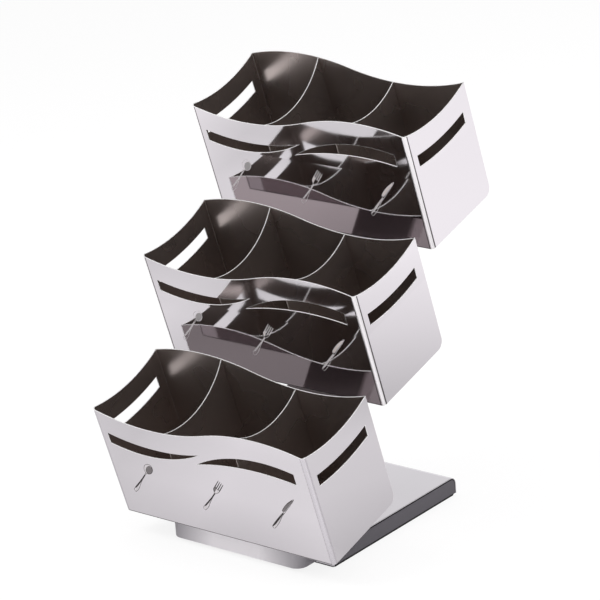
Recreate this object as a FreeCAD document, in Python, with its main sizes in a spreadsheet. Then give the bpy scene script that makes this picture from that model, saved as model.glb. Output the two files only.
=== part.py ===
"""Three-tier cutlery stand in folded stainless sheet.

A weighted base carries a folded channel that rises to the rear, the spine. Three equal bins, each
with two dividers, hang on brackets welded to the spine, one step behind and above the other, and
every bin leans forward by the same tilt.
X runs across the stand, Y from front to back and Z up. The origin lies on the counter, in the
middle of the footprint. All lengths are in millimetres.
"""
import FreeCAD, Part
import math
import os

import Sketcher

SIZES = [
    # bins
    ("bin_width", 280.0, "outside, across"),
    ("bin_depth", 110.0, "outside, front to back"),
    ("bin_height", 135.0, "underside to the corners of the rim"),
    ("bin_sheet", 1.0, "sheet of shell and tray"),
    ("front_bend", 4.0, "outer radius between front and side"),
    ("heel_bend", 10.0, "outer radius between floor and back"),
    ("rim_turn", 8.0, "right of the middle, where the front rim's dip becomes its crest"),
    ("rim_turn_drop", 1.5, "that point below the corners of the rim"),
    ("rim_slope", 16.7, "degrees, climb of the front rim at that point"),
    ("side_rim_sag", 8.0, "lowest point of the side rim below its ends"),
    # dividers
    ("divider_sheet", 1.0, "sheet of the dividers"),
    ("divider_sag", 18.0, "lowest point of a divider's top edge below the line of its ends"),
    ("divider_drop", 0.5, "ends of that edge below the rim"),
    # crescent windows in the front
    ("left_window_margin", 11.0, "blunt end to the side of the bin"),
    ("left_window_tip", 5.0, "tip, left of the middle"),
    ("left_window_tip_drop", 29.5, "tip below the corners of the rim"),
    ("left_window_drop", 29.0, "upper end corner below the corners of the rim"),
    ("left_window_height", 13.0, "height of the blunt end"),
    ("left_window_top_sag", 8.2, "upper edge, bowed down"),
    ("left_window_low_sag", 12.2, "lower edge, bowed down"),
    ("right_window_margin", 19.3, "blunt end to the side of the bin"),
    ("right_window_tip", 11.0, "tip, left of the middle"),
    ("right_window_tip_drop", 42.6, "tip below the corners of the rim"),
    ("right_window_drop", 23.0, "upper end corner below the corners of the rim"),
    ("right_window_height", 13.6, "height of the blunt end"),
    ("right_window_top_sag", 12.8, "upper edge, bowed up"),
    ("right_window_low_sag", 6.9, "lower edge, bowed up"),
    # grip slots in the sides
    ("grip_margin", 12.5, "each end to the front or back of the bin"),
    ("grip_drop", 28.5, "upper corners below the corners of the rim"),
    ("grip_height", 13.0, "height of the slot"),
    ("grip_sag", 3.7, "both long edges, bowed down"),
    # how the bins stand
    ("lean", 16.5, "degrees, forward tilt of every bin"),
    ("step_back", 97.0, "from one bin to the next, level"),
    ("step_up", 138.3, "from one bin to the next, upright"),
    ("toe_overhang", 8.5, "lowest front edge ahead of the nose of the base"),
    ("toe_clearance", 1.5, "lowest front edge above the foot plate"),
    # base
    ("base_width", 216.0, "slab and cover, across"),
    ("base_depth", 245.5, "nose to the rear of the cover"),
    ("base_height", 20.0, "underside of the slab to the top of the cover"),
    ("cover_sheet", 1.0, "sheet of the cover"),
    ("cover_front_bend", 2.0, "outer radius at the front"),
    ("cover_rear_bend", 9.0, "outer radius at the rear"),
    ("mat_thickness", 2.0, "rubber mat under the slab"),
    ("mat_margin", 1.5, "edge of the slab to the mat's edge"),
    ("nose_width", 174.0, "nose, across"),
    ("nose_reach", 29.5, "nose ahead of the slab"),
    ("nose_lift", 4.5, "lower edge of the nose above the counter"),
    ("nose_corner", 12.0, "outer radius of the nose, in plan"),
    ("nose_bar", 3.0, "thickness of the bar that the nose is bent from"),
    ("plate_sheet", 2.5, "sheet of the foot plate"),
    ("plate_bend", 2.5, "inner radius of the foot plate's fold"),
    ("plate_reach", 116.5, "foot plate, front to rear"),
    ("tab_width", 64.0, "tab of the foot plate, between the flanges of the spine"),
    ("tab_height", 34.0, "tab of the foot plate, up the back of the spine"),
    ("tab_slot", 3.0, "gap on either side of the tab, in the flat"),
    # spine and what hangs on it
    ("spine_width", 78.0, "across"),
    ("spine_depth", 20.0, "face to the edges of the flanges"),
    ("spine_sheet", 3.0, "plate that the spine is folded from"),
    ("spine_bend", 2.0, "inner radius of its folds"),
    ("spine_gap", 1.5, "heel of a bin to the spine"),
    ("spine_relief", 2.5, "foot of the web above the foot plate's fold"),
    ("spine_end", 25.0, "upper end beyond the fold of the last bracket"),
    ("spine_trim", 14.0, "taken off the upper rear corners of the flanges"),
    ("bracket_width", 130.0, "across"),
    ("bracket_sheet", 3.0, "plate that the brackets are folded from"),
    ("bracket_bend", 2.0, "inner radius of the fold"),
    ("bracket_flange", 22.0, "part of a bracket that lies on the spine"),
    ("bracket_drop", 75.0, "upper end of a bracket below the corners of the rim"),
    ("riser_gap", 6.0, "back of a bin to the bracket behind it"),
    ("rail_width", 100.0, "hanger rail, across"),
    ("rail_sheet", 1.5, "sheet of rails and hooks"),
    ("rail_drop", 101.0, "lower edge of a rail below the corners of the rim"),
    ("rail_flange", 14.0, "part of the rail that lies on the bracket"),
    ("rail_lip", 15.0, "part of the rail that stands off the bracket"),
    ("hook_width", 92.0, "hook, across"),
    ("hook_flange", 16.0, "part of the hook that lies on the bin"),
    ("hook_lip", 13.0, "part of the hook that drops behind the rail"),
    ("hang_clearance", 0.3, "hook to rail and to bracket, bumper to bracket"),
    ("bumper_offset", 57.0, "middle of a bumper from the middle of the bin"),
    ("bumper_width", 12.0, "across"),
    ("bumper_height", 14.0, "up the back"),
    ("bumper_base", 19.0, "lower edge above the bin's underside"),
    # screws
    ("screw_radius", 2.5, "shank"),
    ("screw_head_radius", 4.75, "button head"),
    ("screw_head_height", 2.75, "button head"),
    ("screw_socket", 1.5, "radius across the flats of the hexagon socket"),
    ("screw_play", 0.25, "clearance hole round a shank"),
    ("thread_play", 0.05, "tapped hole round a shank"),
    ("base_screw_grip", 10.0, "length in the slab"),
    ("base_screw_spread", 63.0, "base screws from the middle, across"),
    ("base_screw_front", 12.0, "front screws behind the front of the slab"),
    ("base_screw_pitch", 62.0, "front to rear base screws"),
    ("spine_screw_spread", 18.0, "spine screws from the middle, across"),
    ("spine_screw_height", 19.0, "spine screws above the foot of the tab"),
    ("nut_height", 4.0, "spine nuts"),
    ("nut_radius", 4.5, "spine nuts, over the corners"),
    ("screw_end", 1.0, "spine screw beyond its nut"),
]

TIERS = ["lower", "middle", "upper"]

doc = FreeCAD.newDocument("CutleryStand")


def fill_sheet():
    """Writes the driving dimensions, one a row, with an alias for each value."""
    cells = doc.addObject("Spreadsheet::Sheet", "Sizes")
    for row, (alias, value, note) in enumerate(SIZES, start=1):
        cells.set(f"A{row}", alias)
        cells.set(f"B{row}", str(value))
        cells.setAlias(f"B{row}", alias)
        cells.set(f"C{row}", note)
    doc.recompute()
    return cells


class Size:
    """A number together with the expression that works it out from the sheet."""

    def __init__(self, value, text):
        self.value = float(value)
        self.text = text

    def __add__(self, other):
        other = as_size(other)
        return Size(self.value + other.value, f"({self.text} + {other.text})")

    def __sub__(self, other):
        other = as_size(other)
        return Size(self.value - other.value, f"({self.text} - {other.text})")

    def __mul__(self, other):
        other = as_size(other)
        return Size(self.value * other.value, f"({self.text} * {other.text})")

    def __truediv__(self, other):
        other = as_size(other)
        return Size(self.value / other.value, f"({self.text} / {other.text})")

    def __neg__(self):
        return Size(-self.value, f"(-1 * {self.text})")

    __radd__ = __add__
    __rmul__ = __mul__


def as_size(number):
    """Wraps a plain number, so that it can stand beside a size."""
    return number if isinstance(number, Size) else Size(number, repr(float(number)))


def root(size):
    return Size(math.sqrt(size.value), f"sqrt({size.text})")


def sine(angle):
    return Size(math.sin(math.radians(angle.value)), f"sin({angle.text})")


def cosine(angle):
    return Size(math.cos(math.radians(angle.value)), f"cos({angle.text})")


def slope(run, rise):
    return Size(math.degrees(math.atan(run.value / rise.value)), f"atan({run.text} / {rise.text})")


sheet = fill_sheet()
S = {alias: Size(sheet.get(alias), f"Sizes.{alias}") for alias, value, note in SIZES}
ZERO = as_size(0)


# ---------------------------------------------------------------- drawing helpers

def plane_of(body, role):
    """One of the body's own origin planes."""
    for feature in body.Origin.OriginFeatures:
        if feature.Role == role:
            return feature
    raise RuntimeError(f"{body.Label} has no {role}")


def new_body(label):
    return doc.addObject("PartDesign::Body", label)


def bind(item, path, size):
    """Ties a property or a datum to the sheet."""
    item.setExpression(path, size.text)


def arc_radius(start, end, sag):
    """Radius of the arc from start to end that bows by sag."""
    run = end[0] - start[0]
    rise = end[1] - start[1]
    return (run * run + rise * rise) / (sag * 8) + sag / 2


def arc_geometry(start, end, radius, side):
    """An arc shorter than a half turn that bows to the left (1) or right (-1) of start to end."""
    chord = end - start
    half = chord.Length / 2
    across = FreeCAD.Vector(-chord.y, chord.x, 0).normalize()
    sag = radius - math.sqrt(max(radius * radius - half * half, 0.0))
    return Part.Arc(start, start + chord / 2 + across * sag * side, end)


def same_point(first, second):
    return first.distanceToPoint(second) < 1e-4


def draw(sketch, corners, arcs=None):
    """Adds one closed outline. Every corner is pinned by two sizes, and arcs maps the number of
    an edge to its radius and side; the other edges are straight."""
    arcs = arcs or {}
    spots = [FreeCAD.Vector(u.value, v.value, 0) for u, v in corners]
    edges = []
    for number, start in enumerate(spots):
        end = spots[(number + 1) % len(spots)]
        if number in arcs:
            radius, side = arcs[number]
            edges.append(sketch.addGeometry(arc_geometry(start, end, radius.value, side), False))
        else:
            edges.append(sketch.addGeometry(Part.LineSegment(start, end), False))
    ends = {}
    for number, edge in enumerate(edges):
        first = 1 if same_point(sketch.getPoint(edge, 1), spots[number]) else 2
        ends[number] = (first, 3 - first)
    for number, edge in enumerate(edges):
        before = number - 1 if number else len(edges) - 1
        sketch.addConstraint(Sketcher.Constraint(
            "Coincident", edges[before], ends[before][1], edge, ends[number][0]))
        pin(sketch, "DistanceX", edge, ends[number][0], corners[number][0])
        pin(sketch, "DistanceY", edge, ends[number][0], corners[number][1])
    for number, (radius, side) in arcs.items():
        index = sketch.addConstraint(Sketcher.Constraint("Radius", edges[number], radius.value))
        name_datum(sketch, index, "radius", radius)


def pin(sketch, kind, edge, end, size):
    """Holds one coordinate of an edge's end at a size."""
    index = sketch.addConstraint(Sketcher.Constraint(kind, -1, 1, edge, end, size.value))
    name_datum(sketch, index, kind, size)


def name_datum(sketch, index, kind, size):
    name = f"{kind}_{index}"
    sketch.renameConstraint(index, name)
    bind(sketch, f"Constraints.{name}", size)


def circle(sketch, middle, radius):
    """Adds a circle at a pinned middle."""
    spot = FreeCAD.Vector(middle[0].value, middle[1].value, 0)
    edge = sketch.addGeometry(Part.Circle(spot, FreeCAD.Vector(0, 0, 1), radius.value), False)
    pin(sketch, "DistanceX", edge, 3, middle[0])
    pin(sketch, "DistanceY", edge, 3, middle[1])
    index = sketch.addConstraint(Sketcher.Constraint("Radius", edge, radius.value))
    name_datum(sketch, index, "radius", radius)


def new_sketch(body, name, role, offset=None):
    """A sketch on one of the body's origin planes, moved along the plane's normal by offset."""
    sketch = body.newObject("Sketcher::SketchObject", f"{body.Label}_{name}")
    sketch.AttachmentSupport = (plane_of(body, role), [""])
    sketch.MapMode = "FlatFace"
    if offset is not None:
        bind(sketch, "AttachmentOffset.Base.z", offset)
    return sketch


def pad(body, sketch, length, both_ways=False):
    feature = body.newObject("PartDesign::Pad", f"{sketch.Label}_pad")
    feature.Profile = sketch
    feature.Midplane = both_ways
    bind(feature, "Length", length)
    doc.recompute()
    return feature


def pocket(body, sketch, length=None, backwards=False):
    """Cuts the outline away: to a length behind the sketch, or right through both ways."""
    before = body.Shape.Volume
    feature = body.newObject("PartDesign::Pocket", f"{sketch.Label}_cut")
    feature.Profile = sketch
    feature.Reversed = backwards
    if length is None:
        feature.Type = "ThroughAll"
        feature.Midplane = True
    else:
        bind(feature, "Length", length)
    doc.recompute()
    if not body.Shape.Volume < before - 1e-3:
        raise RuntimeError(f"{feature.Label} cuts nothing")
    return feature


def edges_along(shape, direction, spots, tolerance=1e-3):
    """Names of the edges that run along a direction (0, 1 or 2 for X, Y or Z) through spots,
    which are given by their two other coordinates."""
    others = [axis for axis in range(3) if axis != direction]
    names = []
    for number, edge in enumerate(shape.Edges, start=1):
        first = edge.Vertexes[0].Point
        last = edge.Vertexes[-1].Point
        if abs(abs(last[direction] - first[direction]) - edge.Length) > tolerance:
            continue
        for spot in spots:
            gaps = [abs(first[axis] - size.value) for axis, size in zip(others, spot)]
            if max(gaps) < tolerance:
                names.append(f"Edge{number}")
    if not names:
        raise RuntimeError("no edge runs there")
    return names


def fillet(body, direction, spots, radius, name):
    base = body.Tip
    feature = body.newObject("PartDesign::Fillet", f"{body.Label}_{name}")
    feature.Base = (base, edges_along(base.Shape, direction, spots))
    bind(feature, "Radius", radius)
    doc.recompute()
    return feature


def lean_back(item, tier):
    """Puts an item drawn in a bin's own upright frame where that tier's bin stands."""
    item.Placement = FreeCAD.Placement(
        FreeCAD.Vector(0, 0, 0), FreeCAD.Rotation(FreeCAD.Vector(1, 0, 0), S["lean"].value))
    bind(item, "Placement.Rotation.Angle", S["lean"])
    bind(item, "Placement.Base.y", toe_y + S["step_back"] * tier)
    bind(item, "Placement.Base.z", toe_z + S["step_up"] * tier)
    return item


def turn_back(item):
    """Puts an item drawn upright where the spine stands, turned to the rear with it."""
    item.Placement = FreeCAD.Placement(
        FreeCAD.Vector(0, 0, 0), FreeCAD.Rotation(FreeCAD.Vector(-1, 0, 0), spine_turn.value))
    bind(item, "Placement.Rotation.Angle", spine_turn)
    bind(item, "Placement.Base.y", toe_y)
    bind(item, "Placement.Base.z", toe_z)
    return item


def group(label, members):
    """Separate solids that are handled as one piece of the list."""
    item = doc.addObject("Part::Compound", label)
    item.Links = members
    return item


# ---------------------------------------------------------------- worked-out sizes

half_width = S["bin_width"] / 2
inner_half_width = half_width - S["bin_sheet"]
stock_height = S["bin_height"] * 1.2

base_front = -(S["base_depth"] / 2)
base_rear = S["base_depth"] / 2
slab_front = base_front + S["nose_reach"]
slab_underside = S["mat_thickness"]
base_top = slab_underside + S["base_height"]
plate_top = base_top + S["plate_sheet"]
toe_y = base_front - S["toe_overhang"]
toe_z = plate_top + S["toe_clearance"]

# One step of the stair, measured along and square to a bin's floor.
tread_pitch = S["step_back"] * cosine(S["lean"]) + S["step_up"] * sine(S["lean"])
riser_pitch = S["step_up"] * cosine(S["lean"]) - S["step_back"] * sine(S["lean"])
stair = root(S["step_back"] * S["step_back"] + S["step_up"] * S["step_up"])
riser_face = S["bin_depth"] + S["riser_gap"]

# The spine runs along the stair. Its faces are measured square to it, from the lowest toe.
heel_line = ((S["bin_depth"] - S["heel_bend"]) * riser_pitch - S["heel_bend"] * tread_pitch) / stair
spine_face = heel_line + S["heel_bend"] + S["spine_gap"]
spine_back = spine_face + S["spine_sheet"]
spine_turn = slope(S["step_back"], S["step_up"])

base_screw_rows = [slab_front + S["base_screw_front"],
                   slab_front + S["base_screw_front"] + S["base_screw_pitch"]]
base_screw_spots = [(S["base_screw_spread"] * side, row)
                    for row in base_screw_rows for side in (-1, 1)]


def along_at(behind, upright):
    """How far up the stair a line behind the toes reaches a height above the counter."""
    return (upright - toe_z + behind * S["step_back"] / stair) * stair / S["step_up"]


def stand_point(along, behind):
    """Level and upright place of a point given along the stair and square to it."""
    level = toe_y + (along * S["step_back"] + behind * S["step_up"]) / stair
    upright = toe_z + (along * S["step_up"] - behind * S["step_back"]) / stair
    return level, upright


def bin_point(along, behind):
    """The same point, given in the lowest bin's frame."""
    depth = (along * tread_pitch + behind * riser_pitch) / stair
    height = (along * riser_pitch - behind * tread_pitch) / stair
    return depth, height


tab_foot = along_at(spine_back, plate_top)
tab_end = tab_foot + S["tab_height"]
spine_screw_spots = [(S["spine_screw_spread"] * side, tab_foot + S["spine_screw_height"])
                     for side in (-1, 1)]

# Where the face of a bracket's riser meets the spine, in the bin's frame and up the stair.
bracket_foot = (riser_face * riser_pitch - spine_face * stair) / tread_pitch
bracket_fold = (riser_face * tread_pitch + bracket_foot * riser_pitch) / stair


# ---------------------------------------------------------------- the wave of the rim

turn_height = S["bin_height"] - S["rim_turn_drop"]


def rim_radius(run, lift):
    """Radius of the arc from the turn to a corner of the rim. The slope at the turn is the
    angle between tangent and chord plus or minus the chord's own angle."""
    chord = root(run * run + S["rim_turn_drop"] * S["rim_turn_drop"])
    tangent_sine = (sine(S["rim_slope"]) * run
                    + cosine(S["rim_slope"]) * S["rim_turn_drop"] * lift) / chord
    return chord / (tangent_sine * 2)


dip_radius = rim_radius(half_width + S["rim_turn"], 1)
crest_radius = rim_radius(half_width - S["rim_turn"], -1)


def dip_height(place):
    """Height of the front rim's dip at a place across the bin."""
    middle = S["rim_turn"] - dip_radius * sine(S["rim_slope"])
    level = turn_height + dip_radius * cosine(S["rim_slope"])
    reach = place - middle
    return level - root(dip_radius * dip_radius - reach * reach)


def crest_height(place):
    """Height of the front rim's crest at a place across the bin."""
    middle = S["rim_turn"] + crest_radius * sine(S["rim_slope"])
    level = turn_height - crest_radius * cosine(S["rim_slope"])
    reach = place - middle
    return level + root(crest_radius * crest_radius - reach * reach)


def draw_rim_cut(sketch, turned):
    """Everything above the wave. The back carries the same wave, turned half round."""
    turn = -S["rim_turn"] if turned else S["rim_turn"]
    corners = [(-half_width, S["bin_height"]), (turn, turn_height),
               (half_width, S["bin_height"]), (half_width, stock_height),
               (-half_width, stock_height)]
    if turned:
        draw(sketch, corners, {0: (crest_radius, 1), 1: (dip_radius, -1)})
    else:
        draw(sketch, corners, {0: (dip_radius, -1), 1: (crest_radius, 1)})


# ---------------------------------------------------------------- bins

def make_shell(label, tier):
    """Front and sides: one sheet bent round the two front corners, then cut to shape."""
    body = new_body(label)
    inner_bend = S["front_bend"] - S["bin_sheet"]
    bend_middle = half_width - S["front_bend"]
    plan = new_sketch(body, "plan", "XY_Plane")
    draw(plan,
         [(-half_width, S["bin_depth"]), (-half_width, S["front_bend"]),
          (-bend_middle, ZERO), (bend_middle, ZERO),
          (half_width, S["front_bend"]), (half_width, S["bin_depth"]),
          (inner_half_width, S["bin_depth"]), (inner_half_width, S["front_bend"]),
          (bend_middle, S["bin_sheet"]), (-bend_middle, S["bin_sheet"]),
          (-inner_half_width, S["front_bend"]), (-inner_half_width, S["bin_depth"])],
         {1: (S["front_bend"], -1), 3: (S["front_bend"], -1),
          7: (inner_bend, 1), 9: (inner_bend, 1)})
    pad(body, plan, stock_height)

    wave = new_sketch(body, "wave", "XZ_Plane")
    draw_rim_cut(wave, turned=False)
    pocket(body, wave, S["front_bend"])

    sag = new_sketch(body, "side_rim", "YZ_Plane")
    rim_start = (S["front_bend"], S["bin_height"])
    rim_end = (S["bin_depth"], S["bin_height"])
    draw(sag,
         [rim_start, rim_end, (S["bin_depth"], stock_height), (S["front_bend"], stock_height)],
         {0: (arc_radius(rim_start, rim_end, S["side_rim_sag"]), -1)})
    pocket(body, sag)

    windows = new_sketch(body, "windows", "XZ_Plane")
    draw_left_window(windows)
    draw_right_window(windows)
    pocket(body, windows, S["front_bend"])

    grips = new_sketch(body, "grips", "YZ_Plane")
    draw_grip(grips)
    pocket(body, grips)

    fillet(body, 0, [(S["bin_depth"], ZERO)], S["heel_bend"], "heel")
    return lean_back(body, tier)


def draw_left_window(sketch):
    """Crescent that follows the dip of the rim and runs out to a tip near the middle."""
    end = -(half_width - S["left_window_margin"])
    top = S["bin_height"] - S["left_window_drop"]
    upper = (end, top)
    lower = (end, top - S["left_window_height"])
    tip = (-S["left_window_tip"], S["bin_height"] - S["left_window_tip_drop"])
    draw(sketch, [upper, lower, tip],
         {1: (arc_radius(lower, tip, S["left_window_low_sag"]), -1),
          2: (arc_radius(tip, upper, S["left_window_top_sag"]), 1)})


def draw_right_window(sketch):
    """Crescent that follows the crest of the rim, with its tip below the other one's."""
    end = half_width - S["right_window_margin"]
    top = S["bin_height"] - S["right_window_drop"]
    upper = (end, top)
    lower = (end, top - S["right_window_height"])
    tip = (-S["right_window_tip"], S["bin_height"] - S["right_window_tip_drop"])
    draw(sketch, [tip, lower, upper],
         {0: (arc_radius(tip, lower, S["right_window_low_sag"]), 1),
          2: (arc_radius(upper, tip, S["right_window_top_sag"]), -1)})


def draw_grip(sketch):
    """Grip slot that sags with the side rim above it."""
    front = S["grip_margin"]
    rear = S["bin_depth"] - S["grip_margin"]
    top = S["bin_height"] - S["grip_drop"]
    bottom = top - S["grip_height"]
    radius = arc_radius((front, top), (rear, top), S["grip_sag"])
    draw(sketch, [(front, bottom), (rear, bottom), (rear, top), (front, top)],
         {0: (radius, -1), 2: (radius, 1)})


def make_tray(label, tier):
    """Floor and back: one sheet bent at the heel, set between the sides of the shell."""
    body = new_body(label)
    inner_bend = S["heel_bend"] - S["bin_sheet"]
    heel = S["bin_depth"] - S["heel_bend"]
    profile = new_sketch(body, "profile", "YZ_Plane")
    draw(profile,
         [(S["bin_sheet"], ZERO), (heel, ZERO), (S["bin_depth"], S["heel_bend"]),
          (S["bin_depth"], stock_height), (S["bin_depth"] - S["bin_sheet"], stock_height),
          (S["bin_depth"] - S["bin_sheet"], S["heel_bend"]), (heel, S["bin_sheet"]),
          (S["bin_sheet"], S["bin_sheet"])],
         {1: (S["heel_bend"], -1), 5: (inner_bend, 1)})
    pad(body, profile, inner_half_width * 2, both_ways=True)

    wave = new_sketch(body, "wave", "XZ_Plane")
    draw_rim_cut(wave, turned=True)
    pocket(body, wave)

    corners = [(-inner_half_width, S["bin_sheet"]), (inner_half_width, S["bin_sheet"])]
    fillet(body, 2, corners, S["front_bend"] - S["bin_sheet"], "front_corners")
    return lean_back(body, tier)


def make_divider(label, tier, side):
    """Plate across the bin that stands on the floor and follows the heel."""
    body = new_body(label)
    third = S["bin_width"] / 6
    front_rim = dip_height(-third) if side < 0 else crest_height(third)
    rear_rim = crest_height(third) if side < 0 else dip_height(-third)
    front = S["bin_sheet"]
    rear = S["bin_depth"] - S["bin_sheet"]
    front_end = (front, front_rim - S["divider_drop"])
    rear_end = (rear, rear_rim - S["divider_drop"])
    outline = new_sketch(body, "outline", "YZ_Plane", third * side)
    draw(outline,
         [(front, S["bin_sheet"]), (S["bin_depth"] - S["heel_bend"], S["bin_sheet"]),
          (rear, S["heel_bend"]), rear_end, front_end],
         {1: (S["heel_bend"] - S["bin_sheet"], -1),
          3: (arc_radius(rear_end, front_end, S["divider_sag"]), 1)})
    pad(body, outline, S["divider_sheet"], both_ways=True)
    return lean_back(body, tier)


throat = S["rail_sheet"] + S["hang_clearance"] * 2
rail_base = S["bin_height"] - S["rail_drop"]
lip_top = rail_base + S["rail_flange"] + S["rail_lip"]


def make_rail(label, tier):
    """Z rail on a bracket, open upward."""
    body = new_body(label)
    thick = S["rail_sheet"]
    low = rail_base
    fold = low + S["rail_flange"]
    lip = riser_face - throat
    profile = new_sketch(body, "profile", "YZ_Plane")
    draw(profile,
         [(riser_face, low), (riser_face, fold), (lip, fold), (lip, lip_top),
          (lip - thick, lip_top), (lip - thick, fold - thick),
          (riser_face - thick, fold - thick), (riser_face - thick, low)])
    pad(body, profile, S["rail_width"], both_ways=True)
    return lean_back(body, tier)


def make_hook(label, tier):
    """Z strip on the back of a bin, open downward, that hangs on the rail's lip."""
    body = new_body(label)
    thick = S["rail_sheet"]
    back = S["bin_depth"]
    seat = lip_top + S["hang_clearance"]
    outer = riser_face - S["hang_clearance"]
    profile = new_sketch(body, "profile", "YZ_Plane")
    draw(profile,
         [(back, seat), (outer - thick, seat), (outer - thick, seat - S["hook_lip"]),
          (outer, seat - S["hook_lip"]), (outer, seat + thick), (back + thick, seat + thick),
          (back + thick, seat + S["hook_flange"]), (back, seat + S["hook_flange"])])
    pad(body, profile, S["hook_width"], both_ways=True)
    return lean_back(body, tier)


def make_bumpers(label, tier):
    """Two pads on the back of a bin that hold it off the bracket."""
    pads = []
    for name, side in (("left", -1), ("right", 1)):
        block = doc.addObject("Part::Box", f"{label}_{name}")
        bind(block, "Length", S["bumper_width"])
        bind(block, "Width", S["riser_gap"] - S["hang_clearance"])
        bind(block, "Height", S["bumper_height"])
        bind(block, "Placement.Base.x", S["bumper_offset"] * side - S["bumper_width"] / 2)
        bind(block, "Placement.Base.y", S["bin_depth"])
        bind(block, "Placement.Base.z", S["bumper_base"])
        pads.append(block)
    return lean_back(group(label, pads), tier)


def make_bin(name, tier):
    """One bin with all that lifts off with it."""
    return [
        make_shell(f"{name}_bin_shell", tier),
        make_tray(f"{name}_bin_tray", tier),
        make_divider(f"{name}_bin_divider_left", tier, -1),
        make_divider(f"{name}_bin_divider_right", tier, 1),
        make_hook(f"{name}_bin_hook", tier),
        make_bumpers(f"{name}_bin_bumpers", tier),
    ]


# ---------------------------------------------------------------- base

def drill(body, name, role, spots, radius, offset, depth=None, backwards=False):
    """Round holes of one size, to a depth or right through."""
    sketch = new_sketch(body, name, role, offset)
    for spot in spots:
        circle(sketch, spot, radius)
    return pocket(body, sketch, depth, backwards)


def make_base_core():
    """Ballast slab, rounded at its rear edge, tapped for the base screws."""
    body = new_body("base_core")
    skin = S["cover_sheet"]
    top = base_top - skin
    rear = base_rear - skin
    radius = S["cover_rear_bend"] - skin
    front = slab_front + skin
    profile = new_sketch(body, "profile", "YZ_Plane")
    draw(profile,
         [(front, slab_underside), (rear, slab_underside), (rear, top - radius),
          (rear - radius, top), (front, top)],
         {2: (radius, -1)})
    pad(body, profile, S["base_width"], both_ways=True)
    drill(body, "screw_holes", "XY_Plane", base_screw_spots,
          S["screw_radius"] + S["thread_play"], top, S["base_screw_grip"] + S["screw_end"])
    fillet(body, 0, [(front, top)], S["cover_front_bend"] - skin, "front_edge")
    return body


def make_base_cover():
    """Sheet folded over the front, the top and the rounded rear of the slab."""
    body = new_body("base_cover")
    skin = S["cover_sheet"]
    radius = S["cover_rear_bend"]
    bend = base_rear - radius
    profile = new_sketch(body, "profile", "YZ_Plane")
    draw(profile,
         [(slab_front, slab_underside), (slab_front + skin, slab_underside),
          (slab_front + skin, base_top - skin), (bend, base_top - skin),
          (base_rear - skin, base_top - radius), (base_rear - skin, slab_underside),
          (base_rear, slab_underside), (base_rear, base_top - radius),
          (bend, base_top), (slab_front, base_top)],
         {3: (radius - skin, 1), 7: (radius, -1)})
    pad(body, profile, S["base_width"], both_ways=True)
    fillet(body, 0, [(slab_front, base_top)], S["cover_front_bend"], "front_fold_outside")
    fillet(body, 0, [(slab_front + skin, base_top - skin)], S["cover_front_bend"] - skin,
           "front_fold_inside")
    drill(body, "screw_holes", "XY_Plane", base_screw_spots,
          S["screw_radius"] + S["screw_play"], base_top, skin * 2)
    return body


def make_front_nose():
    """Flat bar bent round two corners, open to the rear, welded to the cover's front."""
    body = new_body("front_nose")
    half = S["nose_width"] / 2
    radius = S["nose_corner"]
    bar = S["nose_bar"]
    plan = new_sketch(body, "plan", "XY_Plane", S["nose_lift"])
    draw(plan,
         [(-half, slab_front), (-half, base_front + radius), (-(half - radius), base_front),
          (half - radius, base_front), (half, base_front + radius), (half, slab_front),
          (half - bar, slab_front), (half - bar, base_front + radius),
          (half - radius, base_front + bar), (-(half - radius), base_front + bar),
          (-(half - bar), base_front + radius), (-(half - bar), slab_front)],
         {1: (radius, -1), 3: (radius, -1), 7: (radius - bar, 1), 9: (radius - bar, 1)})
    pad(body, plan, base_top - S["nose_lift"])
    return body


def make_foot_plate():
    """Plate on the nose and the cover, with a tab that folds up inside the spine."""
    body = new_body("foot_plate")
    back = spine_back + S["plate_sheet"]
    inside = stand_point(tab_foot, spine_back)
    outside = stand_point(along_at(back, base_top), back)
    profile = new_sketch(body, "tab", "YZ_Plane")
    draw(profile,
         [(slab_front, base_top), outside, stand_point(tab_end, back),
          stand_point(tab_end, spine_back), inside, (slab_front, plate_top)])
    pad(body, profile, S["tab_width"], both_ways=True)
    fillet(body, 0, [inside], S["plate_bend"], "fold_inside")
    fillet(body, 0, [outside], S["plate_bend"] + S["plate_sheet"], "fold_outside")

    half = S["nose_width"] / 2
    slot = S["tab_width"] / 2 + S["tab_slot"]
    slot_front = inside[0] - S["plate_bend"] * 2
    rear = base_front + S["plate_reach"]
    outline = new_sketch(body, "outline", "XY_Plane", base_top)
    draw(outline,
         [(-half, base_front), (half, base_front), (half, rear), (slot, rear),
          (slot, slot_front), (-slot, slot_front), (-slot, rear), (-half, rear)])
    pad(body, outline, S["plate_sheet"])
    fillet(body, 2, [(-half, base_front), (half, base_front)], S["nose_corner"], "front_corners")
    drill(body, "base_screw_holes", "XY_Plane", base_screw_spots,
          S["screw_radius"] + S["screw_play"], plate_top, S["plate_sheet"] * 2)
    drill_tab(body)
    return body


def drill_tab(body):
    """Holes for the spine screws through the tab, square to it."""
    sketch = new_sketch(body, "spine_screw_holes", "XZ_Plane")
    level, upright = stand_point(ZERO, spine_face)
    sketch.AttachmentOffset = FreeCAD.Placement(
        FreeCAD.Vector(0, 0, 0), FreeCAD.Rotation(FreeCAD.Vector(-1, 0, 0), spine_turn.value))
    bind(sketch, "AttachmentOffset.Rotation.Angle", spine_turn)
    bind(sketch, "AttachmentOffset.Base.y", upright)
    bind(sketch, "AttachmentOffset.Base.z", -level)
    for spot in spine_screw_spots:
        circle(sketch, spot, S["screw_radius"] + S["screw_play"])
    pocket(body, sketch, S["spine_sheet"] + S["plate_sheet"] * 2)


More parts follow.
